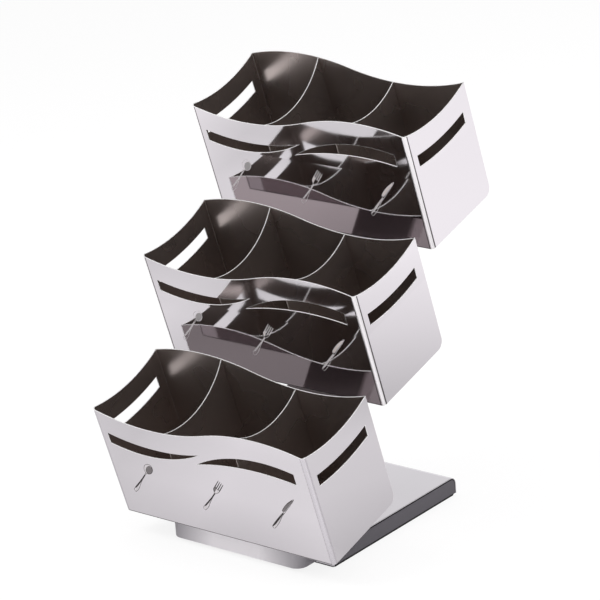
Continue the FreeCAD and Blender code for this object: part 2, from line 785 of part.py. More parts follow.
def make_mat():
    """Rubber mat under the slab, which the stand rests on."""
    body = new_body("rubber_mat")
    side = S["base_width"] / 2 - S["mat_margin"]
    front = slab_front + S["mat_margin"]
    rear = base_rear - S["mat_margin"]
    outline = new_sketch(body, "outline", "XY_Plane")
    draw(outline, [(-side, front), (side, front), (side, rear), (-side, rear)])
    pad(body, outline, S["mat_thickness"])
    corners = [(-side, front), (side, front), (side, rear), (-side, rear)]
    fillet(body, 2, corners, S["mat_margin"] * 2, "corners")
    return body


# ---------------------------------------------------------------- spine, brackets, fasteners

def make_spine():
    """Channel up the stair, open to the rear and cut level at the foot."""
    body = new_body("spine")
    thick = S["spine_sheet"]
    half = S["spine_width"] / 2
    rear = spine_face + S["spine_depth"]
    end = stair * (len(TIERS) - 1) + bracket_fold + S["spine_end"]
    outer = S["spine_bend"] + thick
    inner = S["spine_bend"]
    plan = new_sketch(body, "plan", "XY_Plane")
    draw(plan,
         [(-half, rear), (-half, spine_face + outer), (-(half - outer), spine_face),
          (half - outer, spine_face), (half, spine_face + outer), (half, rear),
          (half - thick, rear), (half - thick, spine_face + outer),
          (half - outer, spine_back), (-(half - outer), spine_back),
          (-(half - thick), spine_face + outer), (-(half - thick), rear)],
         {1: (outer, -1), 3: (outer, -1), 7: (inner, 1), 9: (inner, 1)})
    pad(body, plan, end)

    ends = new_sketch(body, "ends", "YZ_Plane")
    trim = S["spine_trim"]
    draw(ends,
         [(spine_face - trim, along_at(spine_face - trim, plate_top)), (spine_face - trim, -trim),
          (rear + trim, -trim), (rear + trim, along_at(rear + trim, plate_top))])
    draw(ends,
         [(rear - trim, end), (rear, end - trim), (rear + trim, end - trim), (rear + trim, end)])
    pocket(body, ends)

    notch = new_sketch(body, "notch", "XZ_Plane", -spine_face)
    half_notch = half - outer
    draw(notch,
         [(-half_notch, ZERO), (half_notch, ZERO), (half_notch, tab_foot + S["spine_relief"]),
          (-half_notch, tab_foot + S["spine_relief"])])
    pocket(body, notch, thick * 2)
    drill(body, "screw_holes", "XZ_Plane", spine_screw_spots,
          S["screw_radius"] + S["screw_play"], -spine_face, thick * 2)
    return turn_back(body)


def make_bracket(label, tier):
    """Plate folded to an acute L: a riser behind the bin and a flange on the spine."""
    body = new_body(label)
    thick = S["bracket_sheet"]
    top = S["bin_height"] - S["bracket_drop"]
    end = bracket_fold + S["bracket_flange"]
    outside = (riser_face, bracket_foot)
    inside = (riser_face + thick,
              ((riser_face + thick) * riser_pitch - (spine_face - thick) * stair) / tread_pitch)
    profile = new_sketch(body, "profile", "YZ_Plane")
    draw(profile,
         [outside, bin_point(end, spine_face), bin_point(end, spine_face - thick), inside,
          (riser_face + thick, top), (riser_face, top)])
    pad(body, profile, S["bracket_width"], both_ways=True)
    fillet(body, 0, [outside], S["bracket_bend"] + thick, "fold_outside")
    fillet(body, 0, [inside], S["bracket_bend"], "fold_inside")
    return lean_back(body, tier)


def make_screw(label, length):
    """Button-head screw along -Z from the underside of its head at the origin."""
    body = new_body(label)
    dome = S["screw_head_height"] * 0.6
    edge = (S["screw_head_radius"], S["screw_head_height"] - dome)
    crown = (S["screw_head_radius"] * 0.5, S["screw_head_height"])
    profile = new_sketch(body, "profile", "XZ_Plane")
    draw(profile,
         [(ZERO, -length), (S["screw_radius"], -length), (S["screw_radius"], ZERO),
          (S["screw_head_radius"], ZERO), edge, crown, (ZERO, S["screw_head_height"])])
    turn = body.newObject("PartDesign::Revolution", f"{label}_turn")
    turn.Profile = profile
    turn.ReferenceAxis = (profile, ["V_Axis"])
    turn.Angle = 360
    doc.recompute()
    socket = new_sketch(body, "socket", "XY_Plane", S["screw_head_height"])
    draw_hexagon(socket, S["screw_socket"] / math.cos(math.pi / 6))
    pocket(body, socket, dome)
    return body


def draw_hexagon(sketch, radius):
    corners = []
    for number in range(6):
        turn = math.radians(60 * number)
        corners.append((radius * round(math.cos(turn), 6), radius * round(math.sin(turn), 6)))
    draw(sketch, corners)


def make_nut(label):
    """Hexagon nut along +Z from the origin."""
    body = new_body(label)
    outline = new_sketch(body, "outline", "XY_Plane")
    draw_hexagon(outline, S["nut_radius"])
    circle(outline, (ZERO, ZERO), S["screw_radius"] + S["thread_play"])
    pad(body, outline, S["nut_height"])
    return body


def place(item, x, y, z):
    bind(item, "Placement.Base.x", x)
    bind(item, "Placement.Base.y", y)
    bind(item, "Placement.Base.z", z)
    return item


def turn_forward(item, angle):
    """Turns an item about X, so that its +Z points the way the screws' heads do."""
    item.Placement = FreeCAD.Placement(
        FreeCAD.Vector(0, 0, 0), FreeCAD.Rotation(FreeCAD.Vector(1, 0, 0), angle))
    return item


def make_base_screws():
    length = S["plate_sheet"] + S["cover_sheet"] + S["base_screw_grip"]
    screws = []
    for number, (x, y) in enumerate(base_screw_spots, start=1):
        screws.append(place(make_screw(f"base_screw_{number}", length), x, y, plate_top))
    return group("base_screws", screws)


def make_spine_screws():
    length = S["spine_sheet"] + S["plate_sheet"] + S["nut_height"] + S["screw_end"]
    screws = []
    for number, (x, z) in enumerate(spine_screw_spots, start=1):
        screw = turn_forward(make_screw(f"spine_screw_{number}", length), 90)
        screws.append(place(screw, x, spine_face, z))
    return turn_back(group("spine_screws", screws))


def make_spine_nuts():
    nuts = []
    for number, (x, z) in enumerate(spine_screw_spots, start=1):
        nut = turn_forward(make_nut(f"spine_nut_{number}"), -90)
        nuts.append(place(nut, x, spine_back + S["plate_sheet"], z))
    return turn_back(group("spine_nuts", nuts))


# ---------------------------------------------------------------- the whole stand

def build():
    pieces = [
        make_base_core(),
        make_base_cover(),
        make_front_nose(),
        make_foot_plate(),
        make_mat(),
        make_spine(),
        make_base_screws(),
        make_spine_screws(),
        make_spine_nuts(),
    ]
    for tier, name in enumerate(TIERS):
        pieces.append(make_bracket(f"{name}_bracket", tier))
        pieces.append(make_rail(f"{name}_hanger_rail", tier))
        pieces += make_bin(name, tier)
    doc.recompute()
    return pieces


def check(pieces):
    """Stops if anything in the document failed, or a piece has no sound shape."""
    for item in doc.Objects:
        if "Invalid" in item.State or "Error" in item.State:
            raise RuntimeError(f"{item.Label} failed: {item.State}")
    for piece in pieces:
        if piece.Shape.isNull() or not piece.Shape.isValid():
            raise RuntimeError(f"{piece.Label} has no sound shape")


def export(pieces):
    os.makedirs("parts", exist_ok=True)
    for piece in pieces:
        piece.Shape.exportStep(os.path.join("parts", f"{piece.Label}.step"))
        box = piece.Shape.BoundBox
        print(f"{piece.Label}: {len(piece.Shape.Solids)} solid(s), {piece.Shape.Volume:.0f} mm3, "
              f"x {box.XMin:.1f}..{box.XMax:.1f} y {box.YMin:.1f}..{box.YMax:.1f} "
              f"z {box.ZMin:.1f}..{box.ZMax:.1f}")


stand = build()
check(stand)
export(stand)
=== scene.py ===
"""Looks for the three-tier cutlery stand: polished folded sheet on a weighted base."""
import math

import bpy
from mathutils import Matrix, Vector


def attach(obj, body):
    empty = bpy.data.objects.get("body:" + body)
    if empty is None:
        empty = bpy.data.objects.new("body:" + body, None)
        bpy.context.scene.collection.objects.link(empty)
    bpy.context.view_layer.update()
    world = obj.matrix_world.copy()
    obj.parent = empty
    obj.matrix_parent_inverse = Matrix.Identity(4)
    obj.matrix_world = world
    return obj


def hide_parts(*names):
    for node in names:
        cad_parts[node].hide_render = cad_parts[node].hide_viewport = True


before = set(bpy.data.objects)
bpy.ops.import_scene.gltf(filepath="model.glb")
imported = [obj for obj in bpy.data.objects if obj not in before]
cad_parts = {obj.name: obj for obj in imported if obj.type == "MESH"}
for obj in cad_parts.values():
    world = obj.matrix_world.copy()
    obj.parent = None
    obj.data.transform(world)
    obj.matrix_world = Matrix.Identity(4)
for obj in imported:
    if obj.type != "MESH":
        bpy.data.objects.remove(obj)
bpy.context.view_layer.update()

bl_info = {
    "name": "Cutlery stand",
    "version": (1, 0, 0),
    "blender": (4, 5, 0),
    "location": "3D View > Sidebar > Cutlery",
    "description": "Dresses the three-tier cutlery stand and its small studio",
    "category": "Object",
}

TIERS = ("lower", "middle", "upper")
MM = 0.001


def linear(code):
    """Linear colour of an sRGB hex value."""
    parts = [int(code[i:i + 2], 16) / 255 for i in (0, 2, 4)]
    return tuple(c / 12.92 if c <= 0.04045 else ((c + 0.055) / 1.055) ** 2.4 for c in parts)


# -------------------- settings

class CUTLERY_PG_bins(bpy.types.PropertyGroup):
    """Where the bins stand and how their sheet is finished."""
    toe: bpy.props.FloatVectorProperty(
        name="Toe", description="Middle of the lowest bin's lower front edge",
        default=(0.0, -0.13125, 0.026), subtype="XYZ", unit="LENGTH")
    step: bpy.props.FloatVectorProperty(
        name="Step", description="From one bin to the next",
        default=(0.0, 0.097, 0.1383), subtype="XYZ", unit="LENGTH")
    lean: bpy.props.FloatProperty(
        name="Lean", description="Forward tilt of the bins",
        default=math.radians(16.5), subtype="ANGLE", unit="ROTATION")
    width: bpy.props.FloatProperty(
        name="Width", description="Bin, across", default=0.28, subtype="DISTANCE", unit="LENGTH")
    depth: bpy.props.FloatProperty(
        name="Depth", description="Bin, front to back",
        default=0.11, subtype="DISTANCE", unit="LENGTH")
    sheet: bpy.props.FloatProperty(
        name="Sheet", description="Thickness of the bins' sheet",
        default=0.001, subtype="DISTANCE", unit="LENGTH")
    edge_break: bpy.props.FloatProperty(
        name="Edge break", description="Deburred round along the cut edges",
        default=0.0004, subtype="DISTANCE", unit="LENGTH")
    bend: bpy.props.FloatProperty(
        name="Bend", description="Outer radius between front and side",
        default=0.004, subtype="DISTANCE", unit="LENGTH")
    polished: bpy.props.FloatVectorProperty(
        name="Polished", description="Colour of the polished face",
        default=linear("F0EDF0"), subtype="COLOR", size=3, min=0, max=1)
    mill: bpy.props.FloatVectorProperty(
        name="Mill", description="Colour of the unpolished face",
        default=linear("CABFBA"), subtype="COLOR", size=3, min=0, max=1)
    rear: bpy.props.FloatVectorProperty(
        name="Rear", description="Colour of the bins' rear and underside",
        default=linear("9C9394"), subtype="COLOR", size=3, min=0, max=1)


class CUTLERY_PG_signs(bpy.types.PropertyGroup):
    """The etched spoon, fork and knife on each front."""
    height: bpy.props.FloatProperty(
        name="Height", description="Handle ends above the bin's underside",
        default=0.0309, subtype="DISTANCE", unit="LENGTH")
    slant: bpy.props.FloatProperty(
        name="Slant", description="How far the signs lean to the right",
        default=math.radians(38.5), subtype="ANGLE", unit="ROTATION")
    relief: bpy.props.FloatProperty(
        name="Relief", description="How far an etched sign stands off the sheet",
        default=0.00012, subtype="DISTANCE", unit="LENGTH")
    line: bpy.props.FloatProperty(
        name="Line", description="Width of the outline",
        default=0.00045, subtype="DISTANCE", unit="LENGTH")
    ink: bpy.props.FloatVectorProperty(
        name="Ink", description="Colour of the outline",
        default=linear("3A3535"), subtype="COLOR", size=3, min=0, max=1)
    field: bpy.props.FloatVectorProperty(
        name="Field", description="Colour inside the outline",
        default=linear("E9E5E7"), subtype="COLOR", size=3, min=0, max=1)
    shade: bpy.props.FloatVectorProperty(
        name="Shade", description="Colour of the hollow of bowl, tines and blade",
        default=linear("8A8586"), subtype="COLOR", size=3, min=0, max=1)
    # These three colours paint the etched signs lighter on the two higher bins: painted light
    # against their dark reflections.
    frost_line: bpy.props.FloatVectorProperty(
        name="Frost line", description="Colour of the outline on the two higher bins",
        default=linear("DDD8DA"), subtype="COLOR", size=3, min=0, max=1)
    frost_blade: bpy.props.FloatVectorProperty(
        name="Frost blade", description="Colour of blade and tines on the two higher bins",
        default=linear("E2D8D4"), subtype="COLOR", size=3, min=0, max=1)
    frost_bowl: bpy.props.FloatVectorProperty(
        name="Frost bowl", description="Colour of the spoon's bowl on the two higher bins",
        default=linear("A9A5A6"), subtype="COLOR", size=3, min=0, max=1)


class CUTLERY_PG_base(bpy.types.PropertyGroup):
    """Colours of base and spine."""
    paint: bpy.props.FloatVectorProperty(
        name="Paint", description="Powder coat of the ballast slab",
        default=linear("5A575D"), subtype="COLOR", size=3, min=0, max=1)
    cover: bpy.props.FloatVectorProperty(
        name="Cover", description="Polished sheet over the slab",
        default=linear("DEDBE0"), subtype="COLOR", size=3, min=0, max=1)
    # In the middle of the nose's front this colour is a painted highlight.
    brushed: bpy.props.FloatVectorProperty(
        name="Brushed", description="Brushed front nose",
        default=linear("FFFCFF"), subtype="COLOR", size=3, min=0, max=1)
    spine: bpy.props.FloatVectorProperty(
        name="Spine", description="Ground sheet of the spine",
        default=linear("DAD4D7"), subtype="COLOR", size=3, min=0, max=1)
    # Towards the nose's ends this darker colour is painted shade.
    bar_end: bpy.props.FloatVectorProperty(
        name="Bar end", description="Brushed nose towards its ends",
        default=linear("A09DA2"), subtype="COLOR", size=3, min=0, max=1)


class CUTLERY_PG_stage(bpy.types.PropertyGroup):
    """Camera, floor and light."""
    camera: bpy.props.FloatVectorProperty(
        name="Camera", description="Where the camera stands",
        default=(1.82918, -2.19546, 1.26047), subtype="XYZ", unit="LENGTH")
    yaw: bpy.props.FloatProperty(
        name="Yaw", description="Turn to the left",
        default=math.radians(39.64), subtype="ANGLE", unit="ROTATION")
    pitch: bpy.props.FloatProperty(
        name="Pitch", description="Look down",
        default=math.radians(19.58), subtype="ANGLE", unit="ROTATION")
    roll: bpy.props.FloatProperty(
        name="Roll", description="Turn about the line of sight",
        default=math.radians(-4.07), subtype="ANGLE", unit="ROTATION")
    lens: bpy.props.FloatProperty(
        name="Lens", description="Focal length for a 36 mm sensor", default=174.53, min=10,
        unit="CAMERA")
    floor: bpy.props.FloatVectorProperty(
        name="Floor", description="Colour of floor and backdrop",
        default=linear("F4F3F4"), subtype="COLOR", size=3, min=0, max=1)
    room: bpy.props.FloatVectorProperty(
        name="Room", description="Dark room ahead of and above the stand",
        default=linear("5A4D49"), subtype="COLOR", size=3, min=0, max=1)


class CUTLERY_PG_all(bpy.types.PropertyGroup):
    """All settings of the stand."""
    bins: bpy.props.PointerProperty(type=CUTLERY_PG_bins)
    signs: bpy.props.PointerProperty(type=CUTLERY_PG_signs)
    base: bpy.props.PointerProperty(type=CUTLERY_PG_base)
    stage: bpy.props.PointerProperty(type=CUTLERY_PG_stage)


def settings():
    """The stand's settings in this scene."""
    return bpy.context.scene.cutlery_stand


def bin_frame(tier):
    """Matrix of a bin's own frame: x across, y to its back, z up its front."""
    bins = settings().bins
    return (Matrix.Translation(Vector(bins.toe) + Vector(bins.step) * tier)
            @ Matrix.Rotation(bins.lean, 4, "X"))


# -------------------- modelling helpers

# How much of a direction lies along an axis.
ALL, MOST, HALF, SOME, TRACE = 0.99, 0.9, 0.5, 0.3, 0.02
# How far a place may be off by rounding, in metres.
SLACK = 1e-6


def deselect():
    """Leaves edit mode with nothing selected."""
    if bpy.context.object and bpy.context.object.mode != "OBJECT":
        bpy.ops.object.mode_set(mode="OBJECT")
    bpy.ops.object.select_all(action="DESELECT")


def pick(piece):
    """Makes one object the only selected one, and active."""
    deselect()
    piece.select_set(True)
    bpy.context.view_layer.objects.active = piece


def edit(piece, mode):
    """Enters edit mode on a piece with nothing selected."""
    pick(piece)
    bpy.ops.object.mode_set(mode="EDIT")
    bpy.ops.mesh.select_mode(type=mode)
    bpy.ops.mesh.select_all(action="DESELECT")


def choose(piece, kind, test):
    """Selects the edges or faces that a test accepts by their middle and way or normal."""
    bpy.ops.object.mode_set(mode="OBJECT")
    mesh = piece.data
    if kind == "FACE":
        for face in mesh.polygons:
            face.select = test(face.center, face.normal)
    else:
        for edge in mesh.edges:
            ends = [mesh.vertices[i].co for i in edge.vertices]
            edge.select = test((ends[0] + ends[1]) / 2, (ends[1] - ends[0]).normalized())
    bpy.ops.object.mode_set(mode="EDIT")


def extrude(x, y, z):
    """Extrudes what is selected by an offset."""
    bpy.ops.mesh.extrude_region_move(TRANSFORM_OT_translate={"value": (x, y, z)})


def widen(x, y=1):
    """Scales what is selected about its middle."""
    bpy.ops.transform.resize(value=(x, y, 1))


def turn_outwards():
    """Turns every face of the mesh in edit mode to its outside."""
    bpy.ops.mesh.select_all(action="SELECT")
    bpy.ops.mesh.normals_make_consistent(inside=False)


def entitle(piece, name):
    """Names an object and its mesh."""
    piece.name = name
    piece.data.name = name


def copy_of(piece):
    """A copy with its own mesh, selected and active."""
    pick(piece)
    bpy.ops.object.duplicate()
    return bpy.context.active_object


def row_of(piece, count):
    """The piece itself and copies of it, as many as asked for in all."""
    return [piece] + [copy_of(piece) for _ in range(count - 1)]


def discard(patterns):
    """Deletes pieces that were modelled only to be copied."""
    deselect()
    for pattern in patterns:
        pattern.select_set(True)
    bpy.ops.object.delete()


def joined(pieces):
    """The first piece, with the others joined to it."""
    deselect()
    for piece in pieces:
        piece.select_set(True)
    bpy.context.view_layer.objects.active = pieces[0]
    bpy.ops.object.join()
    return pieces[0]


def settle(piece, matrix):
    """Places a finished piece and puts its place in its mesh."""
    pick(piece)
    piece.matrix_world = matrix
    bpy.context.view_layer.update()
    bpy.ops.object.transform_apply(location=True, rotation=True, scale=True)


def dress(piece, *materials):
    """Gives a piece its materials, all faces on the first."""
    piece.data.materials.clear()
    for material in materials:
        piece.data.materials.append(material)


def redress(piece, *materials):
    """Swaps the materials in a piece's slots, and leaves its faces on their slots."""
    for slot, material in enumerate(materials):
        piece.data.materials[slot] = material


# -------------------- node helpers

def add_node(tree, kind, inputs=None, **values):
    """Adds a node, sets its fields and fills its inputs with numbers or links."""
    node = tree.nodes.new(kind)
    for name, value in values.items():
        setattr(node, name, value)
    for name, value in (inputs or {}).items():
        if isinstance(value, bpy.types.NodeSocket):
            tree.links.new(value, node.inputs[name])
        else:
            node.inputs[name].default_value = value
    return node


def new_material(name, **sockets):
    """A material with its Principled shader's own sockets set."""
    material = bpy.data.materials.new(name)
    material.use_nodes = True
    shader = material.node_tree.nodes["Principled BSDF"]
    for socket, value in sockets.items():
        shader.inputs[socket.replace("_", " ")].default_value = value
    return material, material.node_tree, shader


def rgba(colour):
    return (*colour, 1.0)


def maths(tree, operation, *values):
    """Result of one operation on numbers or links."""
    return add_node(tree, "ShaderNodeMath", dict(enumerate(values)),
                    operation=operation).outputs[0]


def ramp(tree, value, low, high, out_low, out_high):
    """Runs from one output to the other while the value runs from low to high."""
    return add_node(tree, "ShaderNodeMapRange", {
        "Value": value, "From Min": low, "From Max": high,
        "To Min": out_low, "To Max": out_high}).outputs["Result"]


def stepped_ramp(tree, value, stops):
    """Runs through pairs of value and grey tone; the last value is the ramp's full length."""
    length = stops[-1][0]
    share = ramp(tree, value, 0, length, 0, 1)
    node = add_node(tree, "ShaderNodeValToRGB", {"Fac": share})
    knots = node.color_ramp.elements
    for place, tone in stops:
        knot = knots.new(place / length)
        knot.color = (tone, tone, tone, 1)
    knots.remove(knots[0])
    knots.remove(knots[-1])
    return node.outputs["Color"]


def mix_colours(tree, share, first, second):
    """Runs from the first colour to the second."""
    node = add_node(tree, "ShaderNodeMix", data_type="RGBA")
    ends = [socket for socket in node.inputs if socket.type == "RGBA"]
    for socket, colour in zip(ends, (first, second)):
        if isinstance(colour, bpy.types.NodeSocket):
            tree.links.new(colour, socket)
        else:
            socket.default_value = rgba(colour)
    tree.links.new(share, node.inputs["Factor"])
    return [socket for socket in node.outputs if socket.type == "RGBA"][0]


def mix_shaders(tree, share, first, second):
    """Runs from the first shader to the second."""
    return add_node(tree, "ShaderNodeMixShader", {
        "Fac": share, 1: first, 2: second}).outputs[0]


def object_point(tree, stretch=(1, 1, 1)):
    """Object coordinates; a stretch below 1 draws a pattern out along that axis."""
    place = add_node(tree, "ShaderNodeTexCoord").outputs["Object"]
    return add_node(tree, "ShaderNodeMapping", {
        "Vector": place, "Scale": stretch}).outputs["Vector"]


def noise(tree, scale, detail, stretch=(1, 1, 1), **inputs):
    """A noise pattern fixed to the object."""
    return add_node(tree, "ShaderNodeTexNoise", {
        "Vector": object_point(tree, stretch), "Scale": scale, "Detail": detail,
        **inputs}).outputs["Fac"]


def roughen(tree, shader, pattern, smooth, rough, low=0.3, high=0.7):
    """Lets the roughness follow a pattern, of which most lies between low and high."""
    tree.links.new(ramp(tree, pattern, low, high, smooth, rough), shader.inputs["Roughness"])


def raise_by(tree, shader, pattern, strength, depth, **inputs):
    """Lets a pattern raise the surface, by up to a depth in metres."""
    bump = add_node(tree, "ShaderNodeBump", {
        "Height": pattern, "Strength": strength, "Distance": depth, **inputs})
    tree.links.new(bump.outputs["Normal"], shader.inputs["Normal"])


# -------------------- materials

# Above this height of the bin the polished face turns outwards, at this slope times the tier's
# share.
FLARE_START = 0.085
FLARE = 0.0136
FLARE_SHARES = (1.0, 1.0, 1.8)
# The mill finish is hazed from the first rise to the second, which count from FLARE_START.
HAZED, CLEAR = -0.08, -0.015
# Middle of the painted highlight on the nose's front, and how far from it the highlight starts to
# fade into the painted shade of the ends and is gone.
WORN_MIDDLE = 0.002
WORN_CORE, WORN_REACH = 0.03, 0.085


def rise_of(tree):
    """The height above FLARE_START, times the tier's share, that note_rise keeps."""
    return add_node(tree, "ShaderNodeAttribute", attribute_name="rise").outputs["Fac"]


def mirror_stainless(name, colour):
    """Cold-rolled stainless sheet with a mirror finish: crisp reflections, a faint haze of
    wiping marks, the slight waviness of thin folded sheet and a rim drawn a hair outwards by
    the cut."""
    material, tree, shader = new_material(name, Metallic=1.0, Base_Color=rgba(colour))
    outwards = maths(tree, "MULTIPLY", maths(tree, "MAXIMUM", rise_of(tree), 0.0), FLARE)
    drawn = add_node(tree, "ShaderNodeBump", {
        "Height": outwards, "Strength": 1.0, "Distance": 1.0}).outputs["Normal"]
    wipes = noise(tree, 22.0, 5.0, stretch=(1, 1, 0.35), Roughness=0.6)
    roughen(tree, shader, wipes, 0.035, 0.075, low=0.35, high=0.75)
    raise_by(tree, shader, noise(tree, 9.0, 1.0), 0.35, 0.0006, Normal=drawn)
    return material


def mill_stainless():
    """The unpolished inner face of the same sheet, a cold-rolled 2B finish: a soft, slightly warm
    grey sheen, hazed lower down where the cutlery scratches it."""
    material, tree, shader = new_material(
        "mill_stainless", Base_Color=rgba(settings().bins.mill))
    tree.links.new(ramp(tree, rise_of(tree), HAZED, CLEAR, 0.82, 0.945),
                   shader.inputs["Metallic"])
    roughen(tree, shader, noise(tree, 14.0, 2.0), 0.24, 0.31)
    return material


def cut_edge():
    """Laser-cut and deburred edge of the sheet: bright, matt metal with fine cutting marks."""
    material, tree, shader = new_material("deburred_sheet_edge", Metallic=0.15)
    marks = noise(tree, 1800.0, 2.0)
    tone = mix_colours(tree, marks, linear("E4E2E2"), linear("FFFFFF"))
    tree.links.new(tone, shader.inputs["Base Color"])
    roughen(tree, shader, marks, 0.42, 0.6)
    return material


def buffed_bend(name, code, metallic):
    """Outside of a bend in polished sheet, with a painted highlight: a light, partly matt colour
    that makes it the brightest line on the bin, with a soft haze that catches light from all
    round."""
    material, tree, shader = new_material(
        name, Metallic=metallic, Base_Color=rgba(linear(code)))
    roughen(tree, shader, noise(tree, 400.0, 2.0, stretch=(1, 1, 0.1)), 0.14, 0.22)
    return material


def die_mark(name, code):
    """A narrow strip of darker, duller colour: a painted dark reflection beside a bend, and a
    painted shadow along the front's foot."""
    material, tree, shader = new_material(name, Metallic=0.9, Base_Color=rgba(linear(code)))
    roughen(tree, shader, noise(tree, 700.0, 3.0), 0.3, 0.45)
    return material


def brushed_stainless():
    """Stainless flat bar, belt-brushed along its length, with a painted highlight in the middle
    of its front that fades to painted shade towards its ends: long fine scratches that spread the
    light across them."""
    material, tree, shader = new_material("brushed_stainless_bar", Metallic=0.5)
    across = add_node(tree, "ShaderNodeSeparateXYZ", {"Vector": object_point(tree)})
    off = maths(tree, "ABSOLUTE", maths(tree, "ADD", across.outputs["X"], -WORN_MIDDLE))
    worn = ramp(tree, off, WORN_CORE, WORN_REACH, 0, 1)
    tree.links.new(mix_colours(tree, worn, settings().base.brushed, settings().base.bar_end),
                   shader.inputs["Base Color"])
    lines = noise(tree, 2600.0, 3.0, stretch=(0.02, 0.02, 1))
    roughen(tree, shader, lines, 0.28, 0.36)
    raise_by(tree, shader, lines, 0.08, 0.0001)
    return material


def satin_rolled():
    """Thicker rolled stainless of the spine, belt-ground to an even satin: a dull mirror whose
    fine lines run up the member."""
    material, tree, shader = new_material(
        "satin_ground_stainless", Metallic=0.25, Base_Color=rgba(settings().base.spine))
    roughen(tree, shader, noise(tree, 1500.0, 2.0, stretch=(1, 0.03, 0.03)), 0.26, 0.38)
    return material


def satin_plate():
    """Hot-rolled, pickled stainless plate: dull grey with a coarse mottle."""
    material, tree, shader = new_material(
        "pickled_stainless_plate", Metallic=1.0, Base_Color=rgba(linear("B4B0AD")))
    mottle = noise(tree, 160.0, 6.0)
    roughen(tree, shader, mottle, 0.3, 0.48)
    raise_by(tree, shader, mottle, 0.2, 0.0001)
    return material


def powder_coat():
    """Graphite powder coat on the steel ballast: satin, with a fine orange peel."""
    material, tree, shader = new_material(
        "graphite_powder_coat", Base_Color=rgba(settings().base.paint))
    peel = noise(tree, 900.0, 2.0)
    raise_by(tree, shader, peel, 0.25, 0.0001)
    roughen(tree, shader, peel, 0.38, 0.52)
    return material


def dirty_seam():
    """Painted shadow on all the broken edges of the powder-coated slab, such as the gap under the
    sheet: dull and nearly black."""
    material, tree, shader = new_material(
        "dirty_powder_coat_seam", Base_Color=rgba(linear("161417")), Specular_IOR_Level=0.15)
    roughen(tree, shader, noise(tree, 600.0, 2.0), 0.6, 0.85)
    return material


def etched(name, colour, rough, metallic=0.6):
    """Electrolytically etched marking: the polish is gone and the surface is matt and fine,
    darker than a bright reflection and lighter than a dark one."""
    material, tree, shader = new_material(name, Metallic=metallic, Base_Color=rgba(colour))
    spread = 0.08
    roughen(tree, shader, noise(tree, 2500.0, 2.0), rough - spread, rough + spread)
    return material


def moulded_rubber():
    """Moulded black rubber: matt with a fine bloom."""
    material, tree, shader = new_material(
        "moulded_rubber", Base_Color=rgba(linear("1C1B1B")))
    roughen(tree, shader, noise(tree, 300.0, 4.0), 0.7, 0.9)
    return material


def fastener_steel():
    """Cold-headed stainless screws and nuts: bright with a slight draw grain."""
    material, tree, shader = new_material(
        "cold_headed_stainless", Metallic=1.0, Base_Color=rgba(linear("CFCCC8")))
    roughen(tree, shader, noise(tree, 900.0, 2.0), 0.18, 0.34)
    return material


def heat_tinted_weld():
    """TIG weld left as it cooled: a rippled bead, straw and blue from the heat."""
    material, tree, shader = new_material("heat_tinted_weld", Metallic=0.9)
    tint = noise(tree, 260.0, 2.0)
    tree.links.new(mix_colours(tree, ramp(tree, tint, 0.35, 0.65, 0, 1),
                               linear("C2AE93"), linear("8E94A6")), shader.inputs["Base Color"])
    roughen(tree, shader, tint, 0.25, 0.4)
    return material


# -------------------- sheet-metal pieces

# Points nearer than this are one, and faces that turn less than this are flat.
MERGE = 2e-6
FLAT = math.radians(0.05)
BREAK_SEGMENTS = 2
# Weight of large faces in the normals beside a rounded edge.
FACE_WEIGHT = 60
# Share of the sheet's thickness that a face may lie off its place.
OFF = 0.15
# Material slots of a bin's sheet.
OUTER, INNER, EDGE, BEND, MARK, FOOT = range(6)
# Widths of the painted dark reflection lines beside a bend, on side and front, and of the painted
# shadow along the front's foot. On the bend itself the line ends where the face has turned this
# far from the side.
SIDE_MARK = 0.0008
FRONT_MARK = 0.0005
FOOT_MARK = 0.0012
MARK_TURN = 0.975
# In the bin's frame: the tray's top edge lies above the first, its front edge before the second.
TRAY_TOP = 0.1
TRAY_FRONT = 0.004


def sheet_copy(node, name):
    """A merged copy of a CAD node, to replace it."""
    piece = copy_of(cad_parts[node])
    entitle(piece, name)
    bpy.ops.mesh.customdata_custom_splitnormals_clear()
    bpy.ops.object.mode_set(mode="EDIT")
    bpy.ops.mesh.select_mode(type="VERT")
    bpy.ops.mesh.select_all(action="SELECT")
    bpy.ops.mesh.remove_doubles(threshold=MERGE)
    bpy.ops.mesh.dissolve_limited(angle_limit=FLAT)
    bpy.ops.object.mode_set(mode="OBJECT")
    return piece


def score(piece, place, normal):
    """Cuts a line round a piece where a plane meets it."""
    edit(piece, "VERT")
    bpy.ops.mesh.select_all(action="SELECT")
    bpy.ops.mesh.bisect(plane_co=place, plane_no=normal)
    bpy.ops.object.mode_set(mode="OBJECT")


def score_bends(piece, matrix):
    """Marks off the narrow strips beside the two front bends and along the foot, which carry
    painted dark lines and a painted shadow.
    """
    bins = settings().bins
    along = matrix.to_3x3()
    for side in (-1, 1):
        reach = bins.width / 2 - bins.bend - FRONT_MARK
        score(piece, matrix @ Vector((side * reach, 0, 0)), along @ Vector((1, 0, 0)))
    score(piece, matrix @ Vector((0, bins.bend + SIDE_MARK, 0)), along @ Vector((0, 1, 0)))
    score(piece, matrix @ Vector((0, 0, FOOT_MARK)), along @ Vector((0, 0, 1)))


def break_edges(piece, width, **fields):
    """Rounds the edges that the bevel's fields name, and keeps the faces beside them flat."""
    bpy.ops.object.shade_smooth()
    bevel = piece.modifiers.new("edge_break", "BEVEL")
    bevel.width = width
    bevel.segments = BREAK_SEGMENTS
    bevel.use_clamp_overlap = False
    for name, value in fields.items():
        setattr(bevel, name, value)
    weights = piece.modifiers.new("flat_faces", "WEIGHTED_NORMAL")
    weights.weight = FACE_WEIGHT
    weights.keep_sharp = False
    pick(piece)
    for modifier in list(piece.modifiers):
        bpy.ops.object.modifier_apply(modifier=modifier.name)


